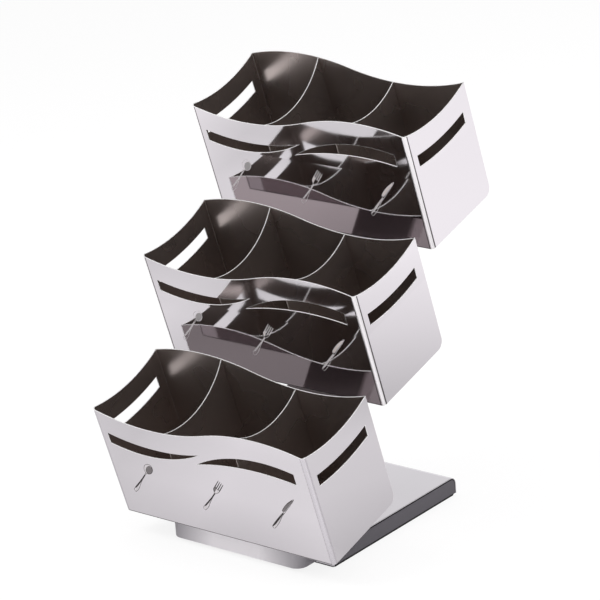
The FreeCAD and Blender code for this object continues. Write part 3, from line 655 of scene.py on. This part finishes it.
def finish_sheet(piece, matrix, sort, materials):
    """Gives each face the finish that its place calls for and rounds the cut edges."""
    dress(piece, *materials)
    turn_back = matrix.inverted()
    for face in piece.data.polygons:
        face.material_index = sort(turn_back @ face.center,
                                   turn_back.to_3x3() @ face.normal)
    edit(piece, "FACE")
    bpy.ops.object.mode_set(mode="OBJECT")
    for face in piece.data.polygons:
        face.select = face.material_index == EDGE
    bpy.ops.object.mode_set(mode="EDIT")
    bpy.ops.mesh.region_to_loop()
    bpy.ops.transform.edge_bevelweight(value=1)
    bpy.ops.object.mode_set(mode="OBJECT")
    break_edges(piece, settings().bins.edge_break, limit_method="WEIGHT", loop_slide=False,
                material=EDGE)


def note_rise(piece, matrix, share):
    """Keeps each point's height above the start of the flare, for the polished face."""
    turn_back = matrix.inverted()
    rise = piece.data.attributes.new("rise", "FLOAT", "POINT")
    rise.data.foreach_set("value", [
        ((turn_back @ v.co).z - FLARE_START) * share for v in piece.data.vertices])


def sort_shell(spot, facing):
    """Finish of a face of the front-and-sides sheet, in the bin's frame."""
    bins = settings().bins
    half = bins.width / 2
    slack = OFF * bins.sheet
    front = abs(facing.y) > ALL and spot.y < bins.sheet + slack
    side = abs(facing.x) > ALL and abs(spot.x) > half - bins.sheet - slack
    corner = (abs(facing.z) < TRACE and spot.y < bins.bend + bins.sheet
              and abs(spot.x) > half - bins.bend - bins.sheet)
    if not (front or side or corner):
        return EDGE
    if facing.dot(Vector((0, bins.depth / 2, spot.z)) - spot) > 0:
        return INNER
    # Narrow strips beside the bends take a painted dark reflection line, and the strip along the
    # front's foot takes a painted shadow.
    if side:
        return MARK if spot.y < bins.bend + SIDE_MARK else OUTER
    if front:
        if spot.z < FOOT_MARK:
            return FOOT
        return MARK if abs(spot.x) > half - bins.bend - FRONT_MARK else OUTER
    # The bend takes a painted highlight; its last strip, turned nearly to the side, takes the
    # painted dark line.
    return MARK if abs(facing.x) > MARK_TURN else BEND


def sort_tray(spot, facing):
    """Finish of a face of the floor-and-back sheet, in the bin's frame."""
    side_edge = abs(facing.x) > HALF
    top_edge = facing.z > SOME and spot.z > TRAY_TOP
    front_edge = facing.y < -ALL and spot.y < TRAY_FRONT
    if side_edge or top_edge or front_edge:
        return EDGE
    return INNER if facing.z > TRACE or facing.y < -SOME else OUTER


def sort_divider(spot, facing):
    """Finish of a face of a divider: only its top edge is dressed bright."""
    return EDGE if abs(facing.x) < MOST and facing.z > SOME else INNER


class CUTLERY_OT_bins(bpy.types.Operator):
    """Dress shells, trays and dividers of the bins"""
    bl_idname = "cutlery_stand.bins"
    bl_label = "Bins"

    def execute(self, context):
        bins = settings().bins
        polished = mirror_stainless("polished_stainless", bins.polished)
        rear = mirror_stainless("bright_rolled_stainless", bins.rear)
        mill, edge = mill_stainless(), cut_edge()
        # On the lowest bin the painted bend highlight and the painted dark lines beside the bends
        # are faint, close to one tone.
        handled = (buffed_bend("hand_worn_bend", "DEDBDF", 0.95),
                   die_mark("faintly_die_marked_stainless", "D6D2D6"))
        # Dark painted line: painted reflection beside the bends of the higher bins, painted
        # shadow along every front's foot.
        dull = die_mark("die_marked_stainless", "5E5A5B")
        fresh = (buffed_bend("buffed_stainless_bend", "FCFAFB", 0.7), dull)
        for tier, name in enumerate(TIERS):
            matrix = bin_frame(tier)
            for part, sort in (("shell", sort_shell), ("tray", sort_tray),
                               ("divider_left", sort_divider),
                               ("divider_right", sort_divider)):
                node = f"{name}_bin_{part}"
                piece = sheet_copy(node, f"{name}_{part}_sheet")
                if part == "shell":
                    score_bends(piece, matrix)
                outside = rear if part == "tray" else polished
                finish_sheet(piece, matrix, sort,
                             (outside, mill, edge, *(fresh if tier else handled), dull))
                note_rise(piece, matrix, FLARE_SHARES[tier])
                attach(piece, f"{name}_bin")
                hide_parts(node)
        return {"FINISHED"}


# -------------------- signs on the fronts

# Outlines as (distance from the handle's end, half width, sideways shift), in millimetres.
HANDLE = ((0.0, 0.7, -0.3), (0.7, 1.5, -0.6), (2.4, 2.1, -0.7), (5.5, 2.35, -0.4),
          (9.5, 2.25, -0.1), (15.0, 1.65, -0.1), (21.0, 1.0, 0.1), (27.0, 0.7, 0.3))
# Degrees round an oval, where its stations lie.
OVAL_ANGLES = (12, 28, 45, 62, 79, 96, 113, 130, 147, 160, 171)


def oval(middle, half_length, half_width, aside, first=0):
    """Stations of an oval, from a first angle round to its far end."""
    angles = [math.radians(a) for a in OVAL_ANGLES if a > first]
    return tuple((middle - half_length * math.cos(a), half_width * math.sin(a), aside)
                 for a in angles)


SPOON = HANDLE + ((34.0, 0.7, 0.6), (40.3, 0.75, 0.9)) + oval(48.4, 8.0, 5.5, 1.0, first=20)
FORK = HANDLE + ((34.0, 0.7, 0.5), (36.0, 1.3, 0.5), (38.5, 3.0, 0.3), (41.0, 3.7, 0.2),
                 (44.0, 3.8, 0.4))
KNIFE = ((0.0, 0.8, -0.2), (0.8, 1.8, -0.5), (2.5, 2.1, -0.45), (8.0, 2.3, -0.1),
         (13.0, 2.2, 0.05), (19.0, 1.8, 0.1), (25.0, 1.3, 0.1), (30.0, 1.05, 0.5),
         (31.8, 0.95, 0.75), (32.6, 1.1, 0.9), (33.6, 1.9, -0.2), (36.0, 2.15, -0.25),
         (41.0, 2.25, -0.15), (48.6, 2.1, 0.4), (54.0, 1.65, 1.1), (58.0, 1.15, 1.65),
         (60.5, 0.65, 2.05), (61.6, 0.3, 2.35))
# How many tines the fork has, where each one's stations lie and how much narrower it is there.
TINES = 4
TINE_STEPS = ((49.0, 0.9), (55.0, 0.8), (57.2, 0.4))

# The darker side of handle, bowl, fork head and blade.
GRIP = ((5.5, 0.3, -2.1), (8.0, 0.75, -1.6), (13.0, 0.85, -1.1), (20.0, 0.75, -0.4),
        (27.0, 0.7, 0.2), (35.5, 0.65, 0.6))
BOWL = oval(48.3, 6.9, 3.9, 2.4)
FORK_HEAD = ((37.0, 0.4, -0.6), (40.0, 1.3, -1.7), (43.0, 1.4, -1.9), (45.0, 0.5, -2.3))
KNIFE_GRIP = ((1.8, 0.4, -1.7), (8.0, 0.9, -1.1), (14.0, 0.95, -0.8), (20.0, 0.8, -0.3),
              (26.0, 0.6, 0.1), (31.5, 0.55, 0.6))
BLADE = ((33.9, 1.1, -0.8), (36.0, 1.6, -0.7), (41.0, 1.7, -0.5), (48.0, 1.55, 0.1),
         (54.0, 1.15, 0.9), (59.0, 0.6, 1.6))

# Each sign's outline and its darker patches, and where its handle ends across the front.
SIGNS = {"spoon": (SPOON, GRIP, BOWL), "fork": (FORK, GRIP, FORK_HEAD),
         "knife": (KNIFE, KNIFE_GRIP, BLADE)}
SIGN_PLACES = {"spoon": -0.1165, "fork": -0.0208, "knife": 0.0707}
# Thickness of a sign and of its patches, in reliefs: one relief of each lies in the sheet.
SIGN_THICKNESS, PATCH_THICKNESS = 2, 2.3
# In thicknesses: where the top lies at least, and how far a field drops below its outline.
TOP, FIELD_DROP = 0.9, 0.15


def ribbon(name, stations):
    """A flat outline, extruded station by station from a small plane."""
    start, second = stations[:2]
    bpy.ops.mesh.primitive_plane_add(size=1, location=(0, 0, 0))
    piece = bpy.context.active_object
    entitle(piece, name)
    pick(piece)
    piece.scale = (2 * start[1] * MM, (second[0] - start[0]) * MM, 1)
    piece.location = (start[2] * MM, (start[0] + second[0]) / 2 * MM, 0)
    bpy.ops.object.transform_apply(location=True, rotation=True, scale=True)
    edit(piece, "EDGE")
    choose(piece, "EDGE",
           lambda spot, way: abs(way.x) > MOST and spot.y > second[0] * MM - SLACK)
    widen(second[1] / start[1])
    bpy.ops.transform.translate(value=((second[2] - start[2]) * MM, 0, 0))
    for before, after in zip(stations[1:], stations[2:]):
        extrude((after[2] - before[2]) * MM, (after[0] - before[0]) * MM, 0)
        widen(after[1] / before[1])
    return piece


def add_tines(piece, head):
    """Splits the fork's head edge and draws every other part out into a tine."""
    bpy.ops.mesh.subdivide(number_cuts=2 * TINES - 2)
    pitch = 2 * head[1] / (2 * TINES - 1)
    for number in range(TINES):
        middle = (head[2] - head[1] + pitch * (0.5 + 2 * number)) * MM
        bpy.ops.mesh.select_all(action="DESELECT")
        choose(piece, "EDGE", lambda spot, way: abs(spot.x - middle) < pitch * MM / 4
               and spot.y > head[0] * MM - SLACK)
        reach = head[0]
        for end, ratio in TINE_STEPS:
            extrude(0, (end - reach) * MM, 0)
            widen(ratio)
            reach = end


def emboss(piece, thickness, ink, fill, reach=math.inf):
    """Gives a flat outline its thickness, and up to a reach an inked border round a field."""
    dress(piece, ink, fill)
    turn_outwards()
    extrude(0, 0, thickness)
    bpy.ops.mesh.select_mode(type="FACE")
    choose(piece, "FACE", lambda spot, way: spot.z > thickness * TOP and abs(way.z) > HALF
           and spot.y < reach)
    bpy.ops.mesh.inset(thickness=settings().signs.line, depth=-thickness * FIELD_DROP)
    piece.active_material_index = 1
    bpy.ops.object.material_slot_assign()
    turn_outwards()
    bpy.ops.object.mode_set(mode="OBJECT")


def model_sign(kind, ink, field, shade):
    """A whole sign in its own frame: its outline with the two darker patches on it."""
    relief = settings().signs.relief
    outline, grip, hollow = SIGNS[kind]
    sign = ribbon(f"{kind}_sign", outline)
    if kind == "fork":
        add_tines(sign, outline[-1])
    emboss(sign, relief * SIGN_THICKNESS, ink, field, outline[-1][0] * MM)
    for stations, fill in ((grip, ink), (hollow, shade)):
        patch = ribbon("patch", stations)
        emboss(patch, relief * PATCH_THICKNESS, ink, fill)
        joined([sign, patch])
    return sign


def on_front(across):
    """Matrix of a sign's own frame in the bin's."""
    signs = settings().signs
    return (Matrix.Translation((across, 0, signs.height))
            @ Matrix.Rotation(math.radians(90), 4, "X")
            @ Matrix.Rotation(-signs.slant, 4, "Z")
            @ Matrix.Translation((0, 0, -signs.relief)))


class CUTLERY_OT_signs(bpy.types.Operator):
    """Etch a spoon, a fork and a knife on each front"""
    bl_idname = "cutlery_stand.signs"
    bl_label = "Signs"

    def execute(self, context):
        signs = settings().signs
        shade = etched("etched_shade", signs.shade, 0.55)
        ink = etched("etched_outline", signs.ink, 0.6)
        field = etched("etched_field", signs.field, 0.5)
        # The signs on the two higher bins are painted lighter, painted light against their dark
        # reflections, with the mirror as their field.
        frost = etched("frosted_outline", signs.frost_line, 0.6, 0.1)
        mirror = bpy.data.materials["polished_stainless"]
        blade = etched("frosted_blade", signs.frost_blade, 0.55, 0.1)
        bowl = etched("frosted_bowl", signs.frost_bowl, 0.55, 0.1)
        patterns = {kind: model_sign(kind, ink, field, shade) for kind in SIGNS}
        for tier, name in enumerate(TIERS):
            for kind, pattern in patterns.items():
                piece = copy_of(pattern)
                entitle(piece, f"{name}_{kind}_sign")
                if tier:
                    redress(piece, frost, mirror, bowl if kind == "spoon" else blade)
                settle(piece, bin_frame(tier) @ on_front(SIGN_PLACES[kind]))
                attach(piece, f"{name}_bin")
        discard(patterns.values())
        return {"FINISHED"}


# -------------------- base

PLATE_BREAK = 0.0004
# The slab's broken edges carry the painted seam shadow, as wide as this.
SLAB_BREAK = 0.0012
SHARP = math.radians(40)


def dress_plate(node, name, body, material, width=PLATE_BREAK, seam=None):
    """A merged copy of a thick piece with its edges broken, which replaces it. Given seam, the
    broken edges take that painted shadow material of their own."""
    piece = sheet_copy(node, name)
    dress(piece, *((material, seam) if seam else (material,)))
    break_edges(piece, width, limit_method="ANGLE", angle_limit=SHARP,
                material=1 if seam else -1)
    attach(piece, body)
    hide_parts(node)


class CUTLERY_OT_base(bpy.types.Operator):
    """Dress the base"""
    bl_idname = "cutlery_stand.base"
    bl_label = "Base"

    def execute(self, context):
        polished = mirror_stainless("polished_base_sheet", settings().base.cover)
        for node, name, slot, material in (
                ("base_cover", "folded_base_cover", "polished_sheet", polished),
                ("front_nose", "nose_bar", "brushed_bar", brushed_stainless()),
                ("foot_plate", "floor_plate", "satin_plate", satin_plate()),
                ("rubber_mat", "anti_slip_mat", "rubber", moulded_rubber())):
            dress_plate(node, name, "stand", material)
        dress_plate("base_core", "ballast_slab", "stand", powder_coat(), SLAB_BREAK,
                    dirty_seam())
        return {"FINISHED"}


# -------------------- spine and welds

# In the bin's frame, right of its middle: the bead where a bracket's flange meets the spine.
BEAD_FOOT = Vector((0.0378, 0.1232, 0.0121))
BEAD_TOP = Vector((0.0378, 0.1334, 0.0202))
BEAD_RADIUS = 0.0021
BEAD_SIDES = 14
BEAD_SMOOTH = math.radians(60)
# Radius of a bead at its ends and between its ripples, as a share.
BEAD_TIP, BEAD_VALLEY = 0.5, 0.9
RIPPLES = 7
# Rows of spot welds by depth and height, and their places across.
RAIL_SPOTS = (0.119, 0.040)
HOOK_SPOTS = (0.1115, 0.0725)
SPOT_PLACES = (-0.036, -0.012, 0.012, 0.036)
SPOT_RADIUS = 0.0026
SPOT_SIDES = 20
SPOT_SMOOTH = math.radians(50)
SPOT_LIFT = 0.00015
# Collar and hollow of a spot weld: how far in from the last ring, and how far up.
SPOT_RINGS = ((0.0005, 0.0001), (0.0006, -0.0002))


def start_mark(sides, radius):
    """A disc on the x-y plane, selected in edit mode, to draw a weld from."""
    bpy.ops.mesh.primitive_circle_add(vertices=sides, radius=radius, fill_type="NGON")
    mark = bpy.context.active_object
    edit(mark, "FACE")
    bpy.ops.mesh.select_all(action="SELECT")
    return mark


def end_mark(angle):
    """Closes a weld's edit and smooths what turns less than an angle."""
    turn_outwards()
    bpy.ops.object.mode_set(mode="OBJECT")
    bpy.ops.object.shade_smooth_by_angle(angle=angle)


def weld_bead(length):
    """A rippled bead up the z axis, thin at both ends."""
    sizes = [BEAD_VALLEY if number % 2 else 1.0 for number in range(2 * RIPPLES - 1)]
    sizes.append(BEAD_TIP)
    bead = start_mark(BEAD_SIDES, BEAD_RADIUS * BEAD_TIP)
    for before, size in zip([BEAD_TIP, *sizes], sizes):
        extrude(0, 0, length / len(sizes))
        widen(size / before, size / before)
    end_mark(BEAD_SMOOTH)
    return bead


def spot_weld():
    """The round print of a spot welder's tip: a low collar round a hollow, facing z."""
    spot = start_mark(SPOT_SIDES, SPOT_RADIUS)
    extrude(0, 0, SPOT_LIFT)
    for inwards, up in SPOT_RINGS:
        bpy.ops.mesh.inset(thickness=inwards, depth=up)
    end_mark(SPOT_SMOOTH)
    return spot


def spot_row(depth, height):
    """Spot welds in a row across the bin, in its frame, facing its back."""
    spots = row_of(spot_weld(), len(SPOT_PLACES))
    for across, spot in zip(SPOT_PLACES, spots):
        settle(spot, Matrix.Translation((across, depth, height))
               @ Matrix.Rotation(math.radians(-90), 4, "X"))
    return spots


def bead_pair():
    """The beads on both sides of a bracket, in the bin's frame."""
    way = BEAD_TOP - BEAD_FOOT
    turn = way.to_track_quat("Z", "X").to_matrix().to_4x4()
    beads = row_of(weld_bead(way.length), 2)
    for side, bead in zip((-1, 1), beads):
        foot = Vector((side * BEAD_FOOT.x, BEAD_FOOT.y, BEAD_FOOT.z))
        settle(bead, Matrix.Translation(foot) @ turn)
    return beads


def add_welds(pattern, tier, name, material, body):
    """Puts a copy of a set of marks, modelled in the bin's frame, on a tier."""
    piece = copy_of(pattern)
    entitle(piece, name)
    dress(piece, material)
    settle(piece, bin_frame(tier))
    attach(piece, body)


class CUTLERY_OT_spine(bpy.types.Operator):
    """Dress the spine, what hangs on it and what holds it"""
    bl_idname = "cutlery_stand.spine"
    bl_label = "Spine"

    def execute(self, context):
        plate = bpy.data.materials["pickled_stainless_plate"]
        rubber = bpy.data.materials["moulded_rubber"]
        fastener = fastener_steel()
        dress_plate("spine", "spine_channel", "stand", satin_rolled())
        for node in ("base_screws", "spine_screws", "spine_nuts"):
            dress(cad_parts[node], fastener)
        weld = heat_tinted_weld()
        bracket_welds = joined(bead_pair() + spot_row(*RAIL_SPOTS))
        hook_spots = joined(spot_row(*HOOK_SPOTS))
        for tier, name in enumerate(TIERS):
            for part, piece, body, slot, material in (
                    ("bracket", "folded_bracket", "stand", "satin_plate", plate),
                    ("hanger_rail", "rail_strip", "stand", "satin_plate", plate),
                    ("bin_hook", "hook_strip", f"{name}_bin", "satin_plate", plate),
                    ("bin_bumpers", "bumper_pads", f"{name}_bin", "rubber", rubber)):
                dress_plate(f"{name}_{part}", f"{name}_{piece}", body, material)
            add_welds(bracket_welds, tier, f"{name}_bracket_welds", weld, "stand")
            add_welds(hook_spots, tier, f"{name}_hook_spots", weld, f"{name}_bin")
        discard((bracket_welds, hook_spots))
        return {"FINISHED"}


# -------------------- stage

WHITE = (1, 1, 1)
# Width of the sensor in millimetres, how far the camera sees and how far the floor goes.
SENSOR = 36
CAMERA_REACH = 100
FLOOR_RADIUS = 20
FLOOR_SIDES = 64
# How bright the paper looks to the camera, its tint in polished metal, and how much of both it
# shows over its own shading.
PAPER_GLOW = 1.06
PAPER_TINT = linear("FFFCFF")
GLOW_SHARE = 0.8
# How bright the paper looks in polished metal, by its distance from the stand in metres: painted
# shade, darker close to the stand and in a dip where the stand's shadow from the key softbox
# falls.
FLOOR_TONES = ((0.0, 0.4), (0.14, 0.44), (0.2, 0.53), (0.3, 0.64), (0.4, 0.66), (0.52, 0.5),
               (0.6, 0.6), (0.75, 0.77), (1.0, 0.98), (1.2, 1.0))
# Its share of that by how far ahead of the stand it lies, and how far to the left. A gain lifts
# the shares.
# These shares also shape the painted shade of the paper in polished metal.
AHEAD_SHARES = ((0.0, 0.66), (0.05, 0.66), (0.13, 0.88), (0.19, 0.97), (0.24, 0.86),
                (0.4, 0.84))
AHEAD_GAIN = 1.515
LEFT_SHARES = ((0.0, 0.91), (0.07, 0.91), (0.13, 0.78), (0.21, 0.6), (0.31, 0.65),
               (0.43, 0.79), (0.6, 1.0))
LEFT_GAIN = 1.1
# Polished metal shows the studio white behind the stand and low down, and as a dark room
# elsewhere: the white comes in between the first two shares of the way back, and goes between
# the other two of the way up.
REARWARD = (-0.15, 0.25)
UPWARD = (0.35, 0.62)
# Light that the studio sends to matt surfaces.
FILL = 0.55

LAMP_AIM = Vector((0, 0, 0.2))
LAMPS = (
    # name, place, size, watts
    ("key_softbox", (-0.9, -1.1, 1.9), 1.2, 22.0),
    ("side_softbox", (1.7, -0.2, 1.3), 1.0, 14.0),
    ("rear_softbox", (0.1, 1.6, 1.8), 1.2, 12.0),
)


def camera_axes(stage):
    """Right, up and forward of the camera."""
    forward = Vector((-math.sin(stage.yaw) * math.cos(stage.pitch),
                      math.cos(stage.yaw) * math.cos(stage.pitch), -math.sin(stage.pitch)))
    right = Vector((math.cos(stage.yaw), math.sin(stage.yaw), 0))
    up = right.cross(forward)
    turn = stage.roll
    return (right * math.cos(turn) + up * math.sin(turn),
            up * math.cos(turn) - right * math.sin(turn), forward)


def add_camera(stage):
    """The camera at its place and turn."""
    right, up, forward = camera_axes(stage)
    bpy.ops.object.camera_add(location=stage.camera)
    camera = bpy.context.active_object
    camera.name = "studio_camera"
    camera.rotation_euler = Matrix((right, up, -forward)).transposed().to_euler()
    camera.data.lens = stage.lens
    camera.data.sensor_width = SENSOR
    camera.data.clip_end = CAMERA_REACH
    bpy.context.scene.camera = camera


def floor_tone(tree):
    """How bright the paper looks in polished metal, from where it lies: a glow with painted
    shade.
    """
    spot = add_node(tree, "ShaderNodeTexCoord").outputs["Object"]
    away = add_node(tree, "ShaderNodeVectorMath", {0: spot}, operation="LENGTH").outputs["Value"]
    parts = add_node(tree, "ShaderNodeSeparateXYZ", {"Vector": spot}).outputs
    tone = stepped_ramp(tree, away, FLOOR_TONES)
    for axis, shares, gain in (("Y", AHEAD_SHARES, AHEAD_GAIN), ("X", LEFT_SHARES, LEFT_GAIN)):
        reach = maths(tree, "MULTIPLY", parts[axis], -1.0)
        share = maths(tree, "MULTIPLY", stepped_ramp(tree, reach, shares), gain)
        tone = maths(tree, "MULTIPLY", tone, share)
    return tone


def add_floor(stage):
    """Seamless paper: nearly white to the camera, glowing with painted shade in polished metal,
    plain in all other light."""
    bpy.ops.mesh.primitive_circle_add(vertices=FLOOR_SIDES, radius=FLOOR_RADIUS,
                                      fill_type="NGON")
    floor = bpy.context.active_object
    floor.name = "studio_floor"
    material, tree, shader = new_material(
        "seamless_paper", Base_Color=rgba(stage.floor), Roughness=0.9)
    rays = add_node(tree, "ShaderNodeLightPath").outputs
    to_camera = add_node(tree, "ShaderNodeEmission", {
        "Color": rgba(WHITE), "Strength": PAPER_GLOW}).outputs[0]
    to_metal = add_node(tree, "ShaderNodeEmission", {
        "Color": rgba(PAPER_TINT), "Strength": floor_tone(tree)}).outputs[0]
    glow = mix_shaders(tree, rays["Is Glossy Ray"], to_camera, to_metal)
    seen = maths(tree, "MAXIMUM", rays["Is Camera Ray"], rays["Is Glossy Ray"])
    share = maths(tree, "MULTIPLY", seen, GLOW_SHARE)
    mixed = mix_shaders(tree, share, shader.outputs["BSDF"], glow)
    tree.links.new(mixed, tree.nodes["Material Output"].inputs["Surface"])
    dress(floor, material)


def add_world(stage):
    """The studio round the stand: white to the camera, half dark room in polished metal, an even
    fill in all other light."""
    world = bpy.data.worlds.new("studio")
    bpy.context.scene.world = world
    world.use_nodes = True
    tree = world.node_tree
    tree.nodes.clear()
    way = add_node(tree, "ShaderNodeTexCoord").outputs["Generated"]
    parts = add_node(tree, "ShaderNodeSeparateXYZ", {"Vector": way}).outputs
    backdrop = maths(tree, "MULTIPLY", ramp(tree, parts["Y"], *REARWARD, 0, 1),
                     ramp(tree, parts["Z"], *UPWARD, 1, 0))
    around = mix_colours(tree, backdrop, stage.room, WHITE)
    reflected, seen, fill = (
        add_node(tree, "ShaderNodeBackground", {"Color": colour, "Strength": strength}).outputs[0]
        for colour, strength in ((around, 1.0), (rgba(WHITE), 1.0), (rgba(WHITE), FILL)))
    rays = add_node(tree, "ShaderNodeLightPath").outputs
    unseen = mix_shaders(tree, rays["Is Glossy Ray"], fill, reflected)
    add_node(tree, "ShaderNodeOutputWorld", {
        "Surface": mix_shaders(tree, rays["Is Camera Ray"], unseen, seen)})


def add_lamps():
    """Softboxes that polished metal doesn't show."""
    for name, place, size, power in LAMPS:
        aim = LAMP_AIM - Vector(place)
        bpy.ops.object.light_add(type="AREA", location=place)
        lamp = bpy.context.active_object
        lamp.name = name
        lamp.rotation_euler = aim.to_track_quat("-Z", "Y").to_euler()
        lamp.data.size = size
        lamp.data.energy = power
        lamp.visible_glossy = False


class CUTLERY_OT_stage(bpy.types.Operator):
    """Set up floor, backdrop, light and camera"""
    bl_idname = "cutlery_stand.stage"
    bl_label = "Stage"

    def execute(self, context):
        stage = settings().stage
        deselect()
        add_floor(stage)
        add_world(stage)
        add_lamps()
        add_camera(stage)
        context.scene.view_settings.view_transform = "Standard"
        return {"FINISHED"}


# -------------------- add-on

class CUTLERY_PT_panel(bpy.types.Panel):
    """Lists the steps that dress the stand"""
    bl_idname = "CUTLERY_PT_panel"
    bl_label = "Cutlery stand"
    bl_space_type = "VIEW_3D"
    bl_region_type = "UI"
    bl_category = "Cutlery"

    def draw(self, context):
        for operator in OPERATORS:
            self.layout.operator(operator.bl_idname)


OPERATORS = (CUTLERY_OT_bins, CUTLERY_OT_signs, CUTLERY_OT_base, CUTLERY_OT_spine,
             CUTLERY_OT_stage)
CLASSES = (CUTLERY_PG_bins, CUTLERY_PG_signs, CUTLERY_PG_base, CUTLERY_PG_stage,
           CUTLERY_PG_all, *OPERATORS, CUTLERY_PT_panel)


def register():
    for item in CLASSES:
        bpy.utils.register_class(item)
    bpy.types.Scene.cutlery_stand = bpy.props.PointerProperty(type=CUTLERY_PG_all)


def unregister():
    del bpy.types.Scene.cutlery_stand
    for item in reversed(CLASSES):
        bpy.utils.unregister_class(item)


def main():
    register()
    bpy.ops.cutlery_stand.bins()
    bpy.ops.cutlery_stand.signs()
    bpy.ops.cutlery_stand.base()
    bpy.ops.cutlery_stand.spine()
    bpy.ops.cutlery_stand.stage()


if __name__ == "__main__":
    main()
